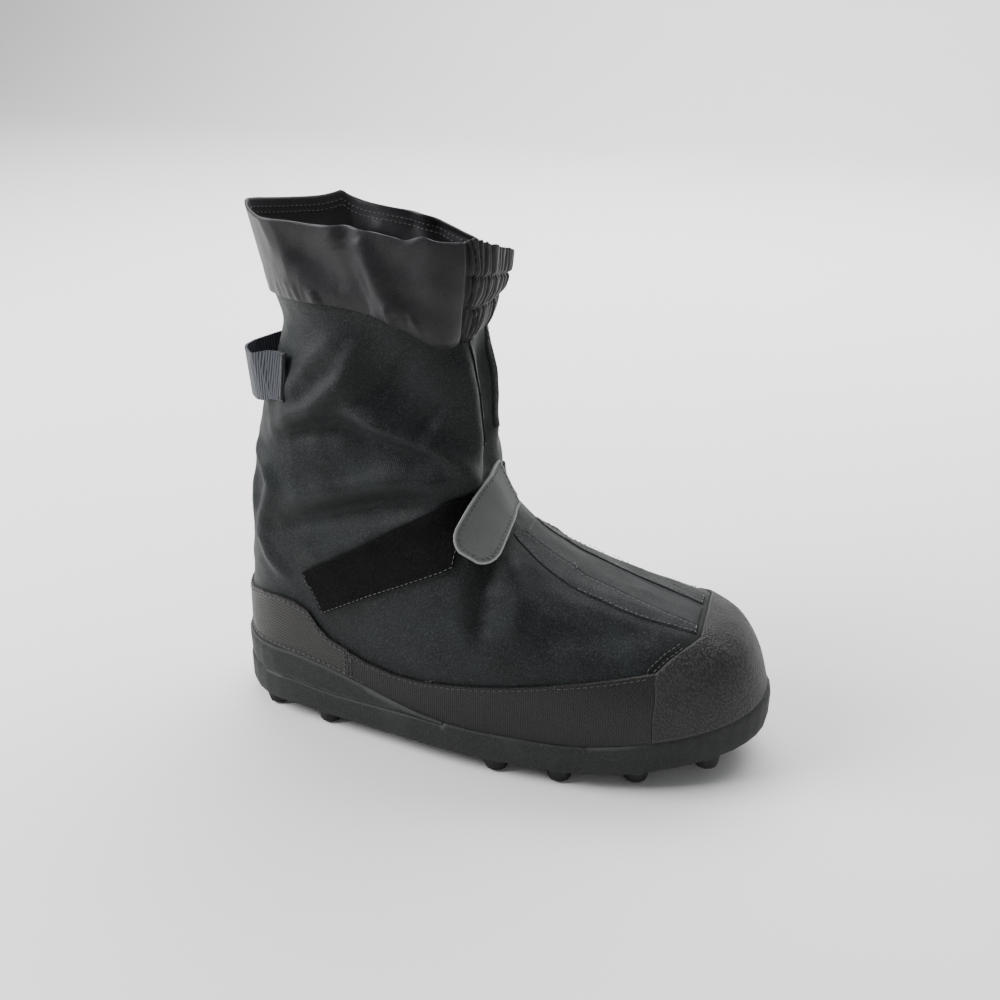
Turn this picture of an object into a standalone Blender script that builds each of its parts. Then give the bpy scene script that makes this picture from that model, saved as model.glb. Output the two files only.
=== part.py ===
"""A winter overshoe for the right foot: a nylon boot that is worn over a shoe, on a moulded rubber sole.

Metres. +X runs to the toe, +Y to the inner side of the foot and +Z up. The shoe stands on its lugs at Z = 0,
and the origin is the middle of the base of its bounding box.
"""

from math import cos, pi, radians

import bmesh
import bpy
import numpy as np
from mathutils import Vector

# The last and the sole
SOLE_LENGTH = 0.310
BALL_WIDTH = 0.122
HEEL_WIDTH = 0.086
HEEL_ROUND = 0.042
TOE_ROUND = 0.080
TOE_SWING = 0.004
TOE_SPRING = 0.012
LUG_HEIGHT = 0.009
LUG_RADIUS = 0.0085
LUG_TIP_RADIUS = 0.0060
HEEL_THICKNESS = 0.036
BALL_THICKNESS = 0.018
TOE_THICKNESS = 0.023
WEDGE_HEIGHT = 0.018
WEDGE_LENGTH = 0.140
WEDGE_EDGE = 0.0012
SIDE_ROUND = 0.004

# The upper
INSTEP_HEIGHT = 0.133
COLLAR_HEIGHT = 0.291
CUFF_HEIGHT = 0.044
SEAM_HEIGHT = COLLAR_HEIGHT - CUFF_HEIGHT
SHAFT_WIDTH = 0.084
UPPER_INSET = 0.0032
UPPER_WALL = 0.0018
CUFF_WALL = 0.0016
FRONT_FOLD_DEPTH = 0.009
FRONT_FOLD_WIDTH = 0.026
OVERLAY_WALL = 0.0014
PLACKET_WALL = 0.0020
FACING_WIDTH = 0.0052
FACING_WALL = 0.0012
FACING_START = 0.600
FACING_END = 0.795
GATHER_REACH = 0.050
GATHER_DEPTH = 0.0022
GATHER_ROWS = 3
INSOLE_THICKNESS = 0.003

# The straps
TAPE_WIDTH = 0.0254
TAPE_THICKNESS = 0.0012
PATCH_THICKNESS = 0.0015
STRAP_FRONT = 0.500
STRAP_HEIGHT = 1.0874
STRAP_SLOPE = 0.55
STRAP_START = 0.345
STRAP_LIFT = 0.0018
STRAP_END = -0.10
STRAP_TAPER = 0.25
TAB_STEP = 13
TAB_WIDTH = 0.0275
TAB_THICKNESS = 0.0016
TAB_TIP = 0.013
TAB_LEAN = (-0.46, 0.0, 0.89)
TAB_TIP_LEAN = (-0.74, 0.10, 0.66)
LOOP_THICKNESS = 0.0014
LOOP_LIFT = 0.0021
LOOP_END_LEAN = (0.45, 0.0, 0.89)
LOOP_FOLD_LEAN = (-0.08, 0.0, 1.0)

# Clearances
TOUCH = 0.0003

# The sole's half width, from the heel's (0) to the ball's (1)
SOLE_WIDTHS = (
    # along, outer, inner
    (0.00, 0.00, 0.00),
    (0.12, 0.00, 0.00),
    (0.18, 0.17, 0.03),
    (0.30, 0.50, 0.08),
    (0.41, 0.82, 0.19),
    (0.53, 1.02, 0.46),
    (0.65, 1.02, 0.73),
    (0.76, 0.84, 0.83),
    (0.86, 0.62, 0.78),
    (1.00, 0.48, 0.67),
)

# The centre line of the toe, vamp and instep: shares of the sole's length and of the instep's height
VAMP_LINE = (
    # along, up
    (0.990, 0.330),
    (0.986, 0.385),
    (0.972, 0.480),
    (0.949, 0.575),
    (0.912, 0.645),
    (0.855, 0.685),
    (0.800, 0.708),
    (0.745, 0.738),
    (0.690, 0.775),
    (0.635, 0.820),
    (0.580, 0.880),
    (0.534, 0.965),
)

# The shaft's front line, from the instep (0) to the collar (1), as shares of the sole's length
SHAFT_FRONT = (
    # up, front
    (0.000, 0.516),
    (0.100, 0.495),
    (0.260, 0.487),
    (0.400, 0.487),
    (0.530, 0.482),
    (0.630, 0.470),
    (0.692, 0.461),
    (0.760, 0.470),
    (0.840, 0.483),
    (0.900, 0.494),
    (0.956, 0.499),
    (1.000, 0.480),
)

# The heel's and the shaft's back line, from the floor (0) to the collar (1), as shares of the sole's length
BACK_LINE = (
    # up, back
    (0.150, 0.010),
    (0.240, 0.014),
    (0.360, 0.026),
    (0.460, 0.034),
    (0.545, 0.048),
    (0.645, 0.070),
    (0.755, 0.107),
    (0.805, 0.118),
    (0.850, 0.098),
    (0.900, 0.085),
    (1.000, 0.060),
)

# The shaft's plan, from the floor (0) to the collar (1)
SHAFT_PLAN = (
    # up, half width (share of the shaft's), back round, front round (shares of the width), back power
    (0.15, 1.04, 0.46, 0.90, 2.0),
    (0.45, 1.00, 0.50, 0.72, 2.0),
    (0.65, 0.97, 0.56, 0.68, 2.0),
    (0.80, 0.94, 0.54, 0.62, 1.8),
    (0.88, 0.98, 0.46, 0.54, 1.5),
    (1.00, 1.02, 0.36, 0.44, 1.2),
)

# How far the seam under the cuff and the collar's rim bow upwards between back and front, on either side
SEAM_BOW = 0.010
RIM_BOW = {-1: 0.005, 1: -0.001}

# The edge of the toe cap, from the sole up and over the toe: along, up
CAP_EDGE = (
    (0.826, 0.000),
    (0.815, 0.155),
    (0.816, 0.196),
    (0.812, 0.242),
    (0.831, 0.261),
    (0.854, 0.277),
    (0.876, 0.290),
    (0.881, 0.360),
)

# The top edge of the heel counter, from the back to the seam with the side bands: along, up
COUNTER_TOP = (
    (-0.050, 0.246),
    (0.030, 0.252),
    (0.075, 0.270),
    (0.125, 0.276),
    (0.155, 0.271),
    (0.183, 0.258),
    (0.203, 0.230),
    (0.226, 0.209),
    (0.262, 0.194),
)

# The top edge of the side bands, from that seam to the toe cap: along, up
BAND_TOP = (
    (0.262, 0.194),
    (0.301, 0.179),
    (0.357, 0.170),
    (0.412, 0.171),
    (0.465, 0.179),
    (0.565, 0.197),
    (0.659, 0.217),
    (0.747, 0.231),
    (0.812, 0.242),
)

# The ends of the pull loop on the shaft's two sides: along, up, and how far off it lies
LOOP_ENDS = (
    (0.161, 0.714, 0.6),
    (0.132, 0.708, 1.7),
)

# The bands beside the gusset, from above: along, across (shares of the sole's length)
PLACKET_OUTER = (
    (0.543, -0.046),
    (0.587, -0.061),
    (0.649, -0.074),
    (0.727, -0.077),
    (0.813, -0.073),
    (0.868, -0.066),
    (0.868, -0.046),
    (0.808, -0.045),
    (0.719, -0.036),
    (0.669, -0.034),
    (0.616, -0.022),
    (0.560, -0.019),
    (0.543, -0.030),
)
PLACKET_TOP = (
    (0.556, -0.018),
    (0.616, -0.021),
    (0.669, -0.033),
    (0.719, -0.035),
    (0.808, -0.044),
    (0.868, -0.045),
    (0.868, 0.012),
    (0.793, 0.016),
    (0.707, 0.023),
    (0.619, 0.042),
    (0.556, 0.045),
)
PLACKET_INNER = (
    (0.556, 0.058),
    (0.619, 0.055),
    (0.707, 0.038),
    (0.793, 0.030),
    (0.868, 0.026),
    (0.868, 0.056),
    (0.793, 0.066),
    (0.707, 0.080),
    (0.619, 0.090),
    (0.556, 0.085),
)

# The corners of the pile tape on the outer side: along, up
PATCH_OUTLINE = (
    (0.177, 0.341),
    (0.214, 0.262),
    (0.305, 0.318),
    (0.378, 0.358),
    (0.447, 0.395),
    (0.462, 0.405),
    (0.476, 0.521),
    (0.446, 0.515),
    (0.356, 0.463),
    (0.253, 0.390),
)

# The strap's tab, from the front of the instep to the tip. Across is a share of the shaft's width.
TAB_LINE = (
    # along, across, up (share of the instep's height)
    (0.5080, -0.150, 1.0831),
    (0.5050, -0.240, 1.0634),
    (0.5010, -0.365, 1.0262),
    (0.4950, -0.475, 0.9758),
    (0.4870, -0.550, 0.9321),
)

# The free part of the pull loop, from the outer side round behind the shaft to the inner side
LOOP_LINE = (
    # along, across (share of the shaft's width), up
    (0.0960, -0.318, 0.7020),
    (0.0720, -0.228, 0.6970),
    (0.0550, -0.140, 0.6950),
    (0.0480, -0.080, 0.6945),
    (0.0480, 0.000, 0.6945),
    (0.0560, 0.100, 0.6950),
    (0.0720, 0.225, 0.6970),
    (0.0960, 0.318, 0.7020),
)

HALF_COLUMNS = 26
UPPER_ROWS = 17
UPPER_LEVELS = [k / (UPPER_ROWS - 1) for k in range(UPPER_ROWS)] + [1.12]
CUFF_LEVELS = [1.0, 1.12, 1.24, 1.36, 1.48, 1.60, 1.72, 1.86, 2.0]
SOLE_COLUMNS = 28

# Colours, as the shoe shows them
BLACK_RUBBER = ((0.030, 0.031, 0.032), 0.72)
BLACK_NYLON = ((0.022, 0.024, 0.026), 0.62)
CUFF_NYLON = ((0.030, 0.030, 0.034), 0.55)
BALLISTIC_NYLON = ((0.028, 0.027, 0.025), 0.45)
GRAINED_RUBBER = ((0.050, 0.052, 0.050), 0.60)
LOOP_PILE = ((0.008, 0.008, 0.010), 0.95)
GREY_RUBBER = ((0.150, 0.155, 0.155), 0.60)
GREY_WEBBING = ((0.080, 0.085, 0.100), 0.65)
FELT = ((0.035, 0.035, 0.037), 0.95)


def columns(table):
    """The columns of a table as arrays."""
    return [np.array(column, float) for column in zip(*table)]


def curve_through(at, stations, values):
    """A smooth curve through the table's points, which doesn't overshoot between them."""
    at = np.clip(np.asarray(at, float), stations[0], stations[-1])
    gaps = np.diff(stations)
    slopes = np.diff(values) / gaps
    steep = np.concatenate([slopes[:1], np.zeros(len(slopes) - 1), slopes[-1:]])
    for i in range(1, len(slopes)):
        if slopes[i - 1] * slopes[i] > 0:
            before = 2 * gaps[i] + gaps[i - 1]
            after = gaps[i] + 2 * gaps[i - 1]
            steep[i] = (before + after) / (before / slopes[i - 1] + after / slopes[i])
    i = np.clip(np.searchsorted(stations, at, side="right") - 1, 0, len(gaps) - 1)
    t = (at - stations[i]) / gaps[i]
    return (
        (1 + 2 * t) * (1 - t) ** 2 * values[i]
        + t * (1 - t) ** 2 * gaps[i] * steep[i]
        + t * t * (3 - 2 * t) * values[i + 1]
        + t * t * (t - 1) * gaps[i] * steep[i + 1]
    )


def ease(at, start, end):
    """0 before start, 1 after end, and a smooth step between them."""
    t = np.clip((np.asarray(at, float) - start) / (end - start), 0, 1)
    return t * t * (3 - 2 * t)


def round_end(distance, radius, power=2.0):
    """The share of full width at a distance from a rounded end."""
    near = 1 - np.clip(distance / radius, 0, 1)
    return (1 - near**power) ** (1 / power)


def sole_bottom(x):
    """The height of the sole's underside over the floor, which rises to the toe."""
    share = np.clip(np.asarray(x, float) / SOLE_LENGTH, 0, 1)
    return LUG_HEIGHT + TOE_SPRING * np.clip((share - 0.68) / 0.32, 0, 1) ** 1.6


def feather(x):
    """The height of the sole's top edge, where the upper meets it."""
    share = np.asarray(x, float) / SOLE_LENGTH
    thick = HEEL_THICKNESS + (BALL_THICKNESS - HEEL_THICKNESS) * ease(share, 0.12, 0.48)
    return sole_bottom(x) + thick + (TOE_THICKNESS - BALL_THICKNESS) * ease(share, 0.65, 1.0)


def wedge_thickness(x):
    """How thick the heel wedge is. It thins out to an edge under the waist."""
    return WEDGE_EDGE + (WEDGE_HEIGHT - WEDGE_EDGE) * (1 - ease(x, 0.38 * WEDGE_LENGTH, WEDGE_LENGTH))


def full_half_width(x, side):
    """Half the sole's width before its ends are rounded. Side is -1 for the outer and 1 for the inner side."""
    along, outer, inner = columns(SOLE_WIDTHS)
    share = curve_through(np.asarray(x, float) / SOLE_LENGTH, along, inner if side > 0 else outer)
    return HEEL_WIDTH / 2 + (BALL_WIDTH - HEEL_WIDTH) / 2 * share


def toe_swing(x):
    """How far the sole's middle line swings to the inner side."""
    return TOE_SWING * ease(x, 0.55 * SOLE_LENGTH, SOLE_LENGTH)


def sole_edge(x, side, inset):
    """The sole's outline at x, moved in by inset."""
    half = (full_half_width(x, side) - inset) * round_end(x - inset, HEEL_ROUND - inset)
    half = half * round_end(SOLE_LENGTH - inset - x, TOE_ROUND - inset)
    return toe_swing(x) + side * half


def front_line():
    """Heights and places of the whole front line, from the toe's tip to the collar."""
    along, up = columns(VAMP_LINE)
    rise, front = columns(SHAFT_FRONT)
    heights = np.concatenate([up * INSTEP_HEIGHT, INSTEP_HEIGHT + rise * (COLLAR_FRONT - INSTEP_HEIGHT)])
    return heights, np.concatenate([along, front]) * SOLE_LENGTH


def front_x(z):
    heights, places = front_line()
    return curve_through(z, heights, places)


def back_x(z):
    up, back = columns(BACK_LINE)
    return curve_through(z, up * COLLAR_HEIGHT, back * SOLE_LENGTH)


def top_z(x):
    """The height of the front line over x. Behind the shaft's front nothing closes the top."""
    heights = np.linspace(feather(SOLE_LENGTH), SEAM_FRONT, 200)
    places = np.minimum.accumulate(front_x(heights))
    return np.where(x > places[-1], np.interp(-x, -places, heights), OPEN_TOP)


COLLAR_FRONT = COLLAR_HEIGHT - 0.015
SEAM_FRONT = SEAM_HEIGHT - 0.014
OPEN_TOP = 10 * COLLAR_HEIGHT


def half_width(x, z, side):
    """Half the upper's width at a point of its side view."""
    up, wide, back_round, front_round, power = columns(SHAFT_PLAN)
    share = z / COLLAR_HEIGHT
    shaft = curve_through(share, up, wide) * SHAFT_WIDTH / 2
    foot = full_half_width(x, side) - UPPER_INSET
    climb = ease(z, 0.40 * INSTEP_HEIGHT, 1.15 * INSTEP_HEIGHT)
    width = foot + (shaft - foot) * climb
    ahead = (front_x(z) - x) / (curve_through(share, up, front_round) * SHAFT_WIDTH)
    above = np.where(z < SEAM_FRONT, top_z(x) - z, OPEN_TOP) / (0.52 * BALL_WIDTH)
    ahead = np.clip(ahead, 1e-6, 1)
    above = np.clip(above, 1e-6, 1)
    near_front = (ahead**-3 + above**-3) ** (-1 / 3)
    back = round_end(x - back_x(z), curve_through(share, up, back_round) * SHAFT_WIDTH, 2.0)
    sharp = round_end(x - back_x(z), curve_through(share, up, back_round) * SHAFT_WIDTH, 1.2)
    pointed = np.clip((2.0 - curve_through(share, up, power)) / 0.8, 0, 1)
    return width * round_end(near_front, 0.80, 2.1 + 0.5 * climb) * (back + (sharp - back) * pointed)


def fold_in(points):
    """Folds the shaft's front inwards between its two facings, as the closed gusset does."""
    x, y, z = points.T
    height = ease(z, 1.02 * INSTEP_HEIGHT, 1.25 * INSTEP_HEIGHT)
    height = height * (1 - ease(z, SEAM_FRONT - 0.012, SEAM_FRONT - 0.001))
    across = np.clip(1 - (2 * y / FRONT_FOLD_WIDTH) ** 2, 0, 1)
    ahead = ease(x, front_x(z) - 0.020, front_x(z) - 0.004)
    return np.column_stack([x - FRONT_FOLD_DEPTH * height * across * ahead, y, z])


def ring(level, folded):
    """One ring of the upper. Level runs from 0 at the sole to 1 at the cuff's seam and 2 at the collar."""
    front_z, back_z = ring_ends(level)
    start, end = back_x(back_z), front_x(front_z)
    t = (1 - np.cos(np.linspace(0, pi, 161))) / 2
    x = start + (end - start) * t
    straight = back_z + (front_z - back_z) * t
    sole_line = feather(back_x(BACK_START)) + (FRONT_START - BACK_START) * t + TOUCH
    stay = (1 - ease(level, 0, 0.38)) * (feather(x) + TOUCH - sole_line)
    halves = []
    for side in (-1, 1):
        bow = SEAM_BOW * ease(level, 0.4, 1) + (RIM_BOW[side] - SEAM_BOW) * ease(level, 1, 2)
        z = straight + bow * np.sin(pi * t) ** 0.8 + stay
        y = toe_swing(x) + side * half_width(x, z, side)
        y[0], y[-1] = 0, toe_swing(x[-1])
        path = np.column_stack([x, y, z])
        length = np.concatenate([[0], np.cumsum(np.linalg.norm(np.diff(path, axis=0), axis=1))])
        even = np.linspace(0, length[-1], HALF_COLUMNS + 1)
        halves.append(np.column_stack([np.interp(even, length, path[:, k]) for k in range(3)]))
    loop = np.concatenate([halves[0], halves[1][-2:0:-1]])
    return fold_in(loop) if folded else loop


BACK_START = float(feather(0)) + TOUCH
FRONT_START = float(feather(SOLE_LENGTH)) + TOUCH


def ring_ends(level):
    """The heights of a ring's ends, on the front line and on the back line."""
    heights = np.linspace(FRONT_START, COLLAR_FRONT, 400)
    path = np.column_stack([front_x(heights), heights])
    length = np.concatenate([[0], np.cumsum(np.linalg.norm(np.diff(path, axis=0), axis=1))])
    seam = np.interp(SEAM_FRONT, heights, length)
    reach = seam * min(level, 1) + (length[-1] - seam) * max(level - 1, 0)
    back = BACK_START + (SEAM_HEIGHT - BACK_START) * min(level, 1)
    back += (COLLAR_HEIGHT - SEAM_HEIGHT) * max(level - 1, 0)
    return float(np.interp(reach, length, heights)), back


def rings(levels, folded=True):
    """A grid of rings, rows by columns by 3."""
    return np.array([ring(level, folded) for level in levels])


def outward(grid):
    """The outward normals of a grid of closed rings."""
    around = np.roll(grid, -1, axis=1) - np.roll(grid, 1, axis=1)
    upward = np.gradient(grid, axis=0)
    normal = np.cross(around, upward)
    return normal / np.maximum(np.linalg.norm(normal, axis=2, keepdims=True), 1e-12)


def new_object(name, mesh, finish):
    material = bpy.data.materials.get(name) or bpy.data.materials.new(name)
    material.use_nodes = True
    colour, roughness = finish
    shader = material.node_tree.nodes["Principled BSDF"]
    shader.inputs["Base Color"].default_value = (*colour, 1)
    shader.inputs["Roughness"].default_value = roughness
    shader.inputs["Metallic"].default_value = 0
    obj = bpy.data.objects.new(name, mesh)
    obj.data.materials.append(material)
    bpy.context.scene.collection.objects.link(obj)
    obj.parent = bpy.data.objects["overshoe"]
    return obj


def mesh_of(name, bm):
    """Turns the faces outwards, shades the round ones smooth and returns the mesh."""
    bmesh.ops.recalc_face_normals(bm, faces=bm.faces)
    mesh = bpy.data.meshes.new(name)
    bm.to_mesh(mesh)
    bm.free()
    mesh.shade_smooth()
    mesh.set_sharp_from_angle(angle=radians(40))
    return mesh


def shell_mesh(name, outer, inner):
    """A closed wall between two grids of rings. Every wall is split the same way, so that nested ones lie parallel."""
    bm = bmesh.new()
    walls = [[[bm.verts.new(point) for point in row] for row in grid] for grid in (outer, inner)]
    count = outer.shape[1]
    for rows in walls:
        for low, high in zip(rows, rows[1:]):
            for i in range(count):
                j = (i + 1) % count
                bm.faces.new((low[i], low[j], high[j]))
                bm.faces.new((low[i], high[j], high[i]))
    for edge in (0, -1):
        for i in range(count):
            j = (i + 1) % count
            bm.faces.new((walls[0][edge][i], walls[0][edge][j], walls[1][edge][j], walls[1][edge][i]))
    return mesh_of(name, bm)


def block_mesh(name, rows):
    """A closed solid between rings of sole points. The first and the last ring are closed across."""
    bm = bmesh.new()
    loops = [[bm.verts.new(point) for point in row] for row in rows]
    count = len(loops[0])
    for low, high in zip(loops, loops[1:]):
        for i in range(count):
            j = (i + 1) % count
            bm.faces.new((low[i], low[j], high[j], high[i]))
    for loop in (loops[0], loops[-1]):
        for i in range(count // 2):
            corners = [loop[i], loop[i + 1], loop[count - 1 - i], loop[(count - i) % count]]
            bm.faces.new(list(dict.fromkeys(corners)))
    return mesh_of(name, bm)


def prism(name, outline, low, high, axis=1):
    """A cutter: an outline in the side view (axis 1) or in the plan (axis 2), from low to high along that axis."""
    bm = bmesh.new()

    def place(a, b, depth):
        return (a, depth, b) if axis == 1 else (a, b, depth)

    base = bm.faces.new([bm.verts.new(place(a, b, low)) for a, b in outline])
    made = bmesh.ops.extrude_face_region(bm, geom=[base])
    raised = [item for item in made["geom"] if isinstance(item, bmesh.types.BMVert)]
    shift = [0, 0, 0]
    shift[axis] = high - low
    bmesh.ops.translate(bm, verts=raised, vec=shift)
    cutter = new_object(name, mesh_of(name, bm), BLACK_RUBBER)
    cutter.hide_render = True
    cutter.display_type = "WIRE"
    return cutter


def boolean(obj, other, operation):
    modifier = obj.modifiers.new(operation.lower(), "BOOLEAN")
    modifier.operation = operation
    modifier.object = other
    return obj


def sole_loop(height, inset, end=SOLE_LENGTH):
    """A ring of the sole at the height that a function of x gives. It stops square at end, or rounds the toe."""
    last = min(end, SOLE_LENGTH - inset)
    if end < SOLE_LENGTH:
        spread = 1 - np.cos(np.linspace(0, pi / 2, SOLE_COLUMNS // 2 + 1))
    else:
        spread = (1 - np.cos(np.linspace(0, pi, SOLE_COLUMNS + 1))) / 2
    x = inset + (last - inset) * spread
    if end == SOLE_LENGTH:
        step = [WEDGE_LENGTH + TOUCH, WEDGE_LENGTH + 2 * TOUCH]
        x = np.sort(np.concatenate([x[np.abs(x - WEDGE_LENGTH) > 0.004], step]))
    outer = np.column_stack([x, sole_edge(x, -1, inset), height(x)])
    inner = np.column_stack([x, sole_edge(x, 1, inset), height(x)])
    outer[0, 1] = toe_swing(x[0])
    if end == SOLE_LENGTH:
        outer[-1, 1] = toe_swing(x[-1])
        return np.concatenate([outer, inner[-2:0:-1]])
    return np.concatenate([outer, inner[:0:-1]])


def sole_stack(low, high, profile, end=SOLE_LENGTH):
    """Rings from the low surface to the high one, with the side's rounding from a short profile."""
    stack = []
    for up, inset in profile:
        stack.append(sole_loop(lambda x, up=up: low(x) + (high(x) - low(x)) * up, inset * SIDE_ROUND, end))
    return stack


def outsole_top(x):
    """The outsole's top: under the wedge at the heel, and the feather line in front of it."""
    under = feather(x) - wedge_thickness(x) - TOUCH
    return np.where(x > WEDGE_LENGTH + 1.5 * TOUCH, feather(x), under)


def make_outsole():
    profile = ((0, 0.70), (0.07, 0.18), (0.25, 0.0), (0.80, 0.0), (0.94, 0.10), (1.0, 0.34))
    outsole = new_object("outsole", block_mesh("outsole", sole_stack(sole_bottom, outsole_top, profile)), BLACK_RUBBER)
    for number, (x, y) in enumerate(lug_places()):
        lug = new_object(f"lug_form_{number}", lug_mesh(x, y), BLACK_RUBBER)
        lug.hide_render = True
        lug.display_type = "WIRE"
        boolean(outsole, lug, "UNION")


# Rows of lugs: share of the sole's length, and where they stand across, as shares of the way to each edge
LUG_ROWS = (
    # along, places across
    (0.085, (-0.80, 0.80)),
    (0.205, (-0.86, 0.0, 0.86)),
    (0.545, (-0.90, -0.30, 0.30, 0.90)),
    (0.660, (-0.90, -0.30, 0.30, 0.90)),
    (0.790, (-0.86, 0.0, 0.86)),
    (0.905, (-0.80, 0.80)),
)


def lug_places():
    places = []
    for along, across in LUG_ROWS:
        x = along * SOLE_LENGTH
        for share in across:
            side = 1 if share > 0 else -1
            edge = sole_edge(x, side, SIDE_ROUND)
            places.append((x, float(toe_swing(x) + abs(share) * (edge - toe_swing(x)))))
    return places


def lug_mesh(x, y):
    """A gumdrop lug: a cone with its tip's edge rounded off, sunk a little into the sole that it is moulded on."""
    bm = bmesh.new()
    sunk = 0.35 * LUG_HEIGHT
    bmesh.ops.create_cone(
        bm, cap_ends=True, segments=12, radius1=LUG_TIP_RADIUS, radius2=LUG_RADIUS, depth=LUG_HEIGHT + sunk
    )
    tip = [edge for edge in bm.edges if all(v.co.z < 0 for v in edge.verts)]
    bmesh.ops.bevel(bm, geom=tip, offset=0.2 * LUG_HEIGHT, offset_type="OFFSET", segments=1, profile=0.5,
                    affect="EDGES", material=-1)
    base = float(sole_bottom(x)) - LUG_HEIGHT
    bmesh.ops.translate(bm, verts=bm.verts, vec=(x, y, base + (LUG_HEIGHT + sunk) / 2))
    return mesh_of("lug_form", bm)


def make_wedge():
    profile = ((0, 0.34), (0.15, 0.20), (0.85, 0.12), (1.0, 0.36))
    stack = sole_stack(lambda x: feather(x) - wedge_thickness(x), feather, profile, WEDGE_LENGTH)
    new_object("heel_wedge", wedge_mesh(stack), BLACK_RUBBER)


def wedge_mesh(rows):
    """The wedge's rings end square at the waist, so their two sides pair off all the way to the end."""
    bm = bmesh.new()
    loops = [[bm.verts.new(point) for point in row] for row in rows]
    count = len(loops[0])
    for low, high in zip(loops, loops[1:]):
        for i in range(count):
            j = (i + 1) % count
            bm.faces.new((low[i], low[j], high[j], high[i]))
    for loop in (loops[0], loops[-1]):
        bm.faces.new((loop[0], loop[1], loop[-1]))
        for i in range(1, count // 2):
            bm.faces.new((loop[i], loop[i + 1], loop[count - 1 - i], loop[count - i]))
    return mesh_of("heel_wedge", bm)


def make_insole():
    """A felt board on the sole, inside the upper's wall."""
    clear = UPPER_INSET + UPPER_WALL + 0.0025
    stack = [
        sole_loop(lambda x: feather(x) + TOUCH, clear),
        sole_loop(lambda x: feather(x) + TOUCH + INSOLE_THICKNESS, clear),
    ]
    new_object("insole", block_mesh("insole", stack), FELT)


def make_upper():
    """The hollow shaft and foot, open at the collar and towards the sole."""
    grid = rings(UPPER_LEVELS)
    inner = grid - outward(grid) * UPPER_WALL
    new_object("upper", shell_mesh("upper", grid, inner), BLACK_NYLON)
    return grid


def make_cuff():
    """The cuff hangs a little over the shaft's top edge. Rows of elastic draw its front in."""
    grid = rings(CUFF_LEVELS)
    normals = outward(grid)
    puff = np.zeros(grid.shape[:2])
    for level, row, lift in zip(CUFF_LEVELS, grid, puff):
        near = ease(row[:, 0], front_x(row[:, 2]) - GATHER_REACH, front_x(row[:, 2]) - 0.5 * GATHER_REACH)
        lift[:] = near * GATHER_DEPTH * (1 - cos(2 * pi * GATHER_ROWS * (level - 1))) / 2
    outer = grid + normals * (TOUCH + CUFF_WALL + puff[:, :, None])
    inner = grid + normals * (TOUCH + puff[:, :, None])
    new_object("cuff", shell_mesh("cuff", outer, inner), CUFF_NYLON)


def overlay(name, grid, rows, cutter, wall, finish, lift=TOUCH):
    """A piece that lies on the upper and has its form, cut out by the cutter from the rows that it needs."""
    part = slice(rows[0], rows[1] + 1)
    normals = outward(grid)
    mesh = shell_mesh(name, (grid + normals * (lift + wall))[part], (grid + normals * lift)[part])
    boolean(new_object(name, mesh, finish), cutter, "INTERSECT")


def to_length(points):
    """Shares of the sole's length and of the collar's height, as metres."""
    return [(along * SOLE_LENGTH, up * COLLAR_HEIGHT) for along, up in points]


def make_rand(grid):
    """The counter round the heel, the two side bands and the toe cap, with a gap between neighbours."""
    cap_edge = to_length(CAP_EDGE)
    counter_top = to_length(COUNTER_TOP)
    band_top = to_length(BAND_TOP)
    seam = counter_top[-1][0]
    behind, ahead, wide = -0.05, SOLE_LENGTH + 0.05, BALL_WIDTH
    counter = prism("counter_form", [(behind, 0), (seam, 0)] + counter_top[::-1], -wide, wide)
    cap = prism("cap_form", [(ahead, 0), (ahead, COLLAR_HEIGHT / 2)] + cap_edge[::-1], -wide, wide)
    overlay("heel_counter", grid, (0, 6), counter, OVERLAY_WALL, BALLISTIC_NYLON)
    overlay("toe_cap", grid, (0, 8), cap, OVERLAY_WALL, GRAINED_RUBBER)
    front = [(x - TOUCH, z) for x, z in cap_edge if z < band_top[-1][1]]
    outline = [(seam + TOUCH, 0)] + front + band_top[:0:-1] + [(seam + TOUCH, band_top[0][1])]
    for name, low, high in (("rand_outer", -wide, -0.1 * wide), ("rand_inner", 0.1 * wide, wide)):
        band = prism(name + "_form", outline, low, high)
        overlay(name, grid, (0, 6), band, OVERLAY_WALL, BALLISTIC_NYLON)


def make_vamp(grid):
    """The bands along both sides of the closed gusset, over the vamp and up the shaft's front."""
    bands = (
        ("placket_outer", PLACKET_OUTER),
        ("placket_top", PLACKET_TOP),
        ("placket_inner", PLACKET_INNER),
    )
    for name, shares in bands:
        outline = [(along * SOLE_LENGTH, across * SOLE_LENGTH) for along, across in shares]
        cutter = prism(name + "_form", outline, 0.3 * INSTEP_HEIGHT, 1.3 * INSTEP_HEIGHT, axis=2)
        overlay(name, grid, (2, 13), cutter, PLACKET_WALL, BLACK_NYLON)
    heights = np.linspace(FACING_START * COLLAR_HEIGHT, FACING_END * COLLAR_HEIGHT, 7)
    edge = [(float(front_x(z)) - 0.5 * SHAFT_WIDTH, float(z)) for z in heights]
    outline = edge + [(0.6 * SOLE_LENGTH, edge[-1][1]), (0.6 * SOLE_LENGTH, edge[0][1])]
    for name, low, high in (
        ("facing_outer", -0.42 * FRONT_FOLD_WIDTH - FACING_WIDTH, -0.42 * FRONT_FOLD_WIDTH),
        ("facing_inner", 0.42 * FRONT_FOLD_WIDTH, 0.42 * FRONT_FOLD_WIDTH + FACING_WIDTH),
    ):
        cutter = prism(name + "_form", outline, low, high)
        overlay(name, grid, (9, UPPER_ROWS - 1), cutter, FACING_WALL, BLACK_NYLON, 2 * TOUCH)


def make_patch(grid):
    """The pile tape on the outer side, which the strap's tab closes on."""
    cutter = prism("patch_form", to_length(PATCH_OUTLINE), -BALL_WIDTH, -0.5 * FRONT_FOLD_WIDTH)
    overlay("loop_patch", grid, (2, 12), cutter, PATCH_THICKNESS, LOOP_PILE)


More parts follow.
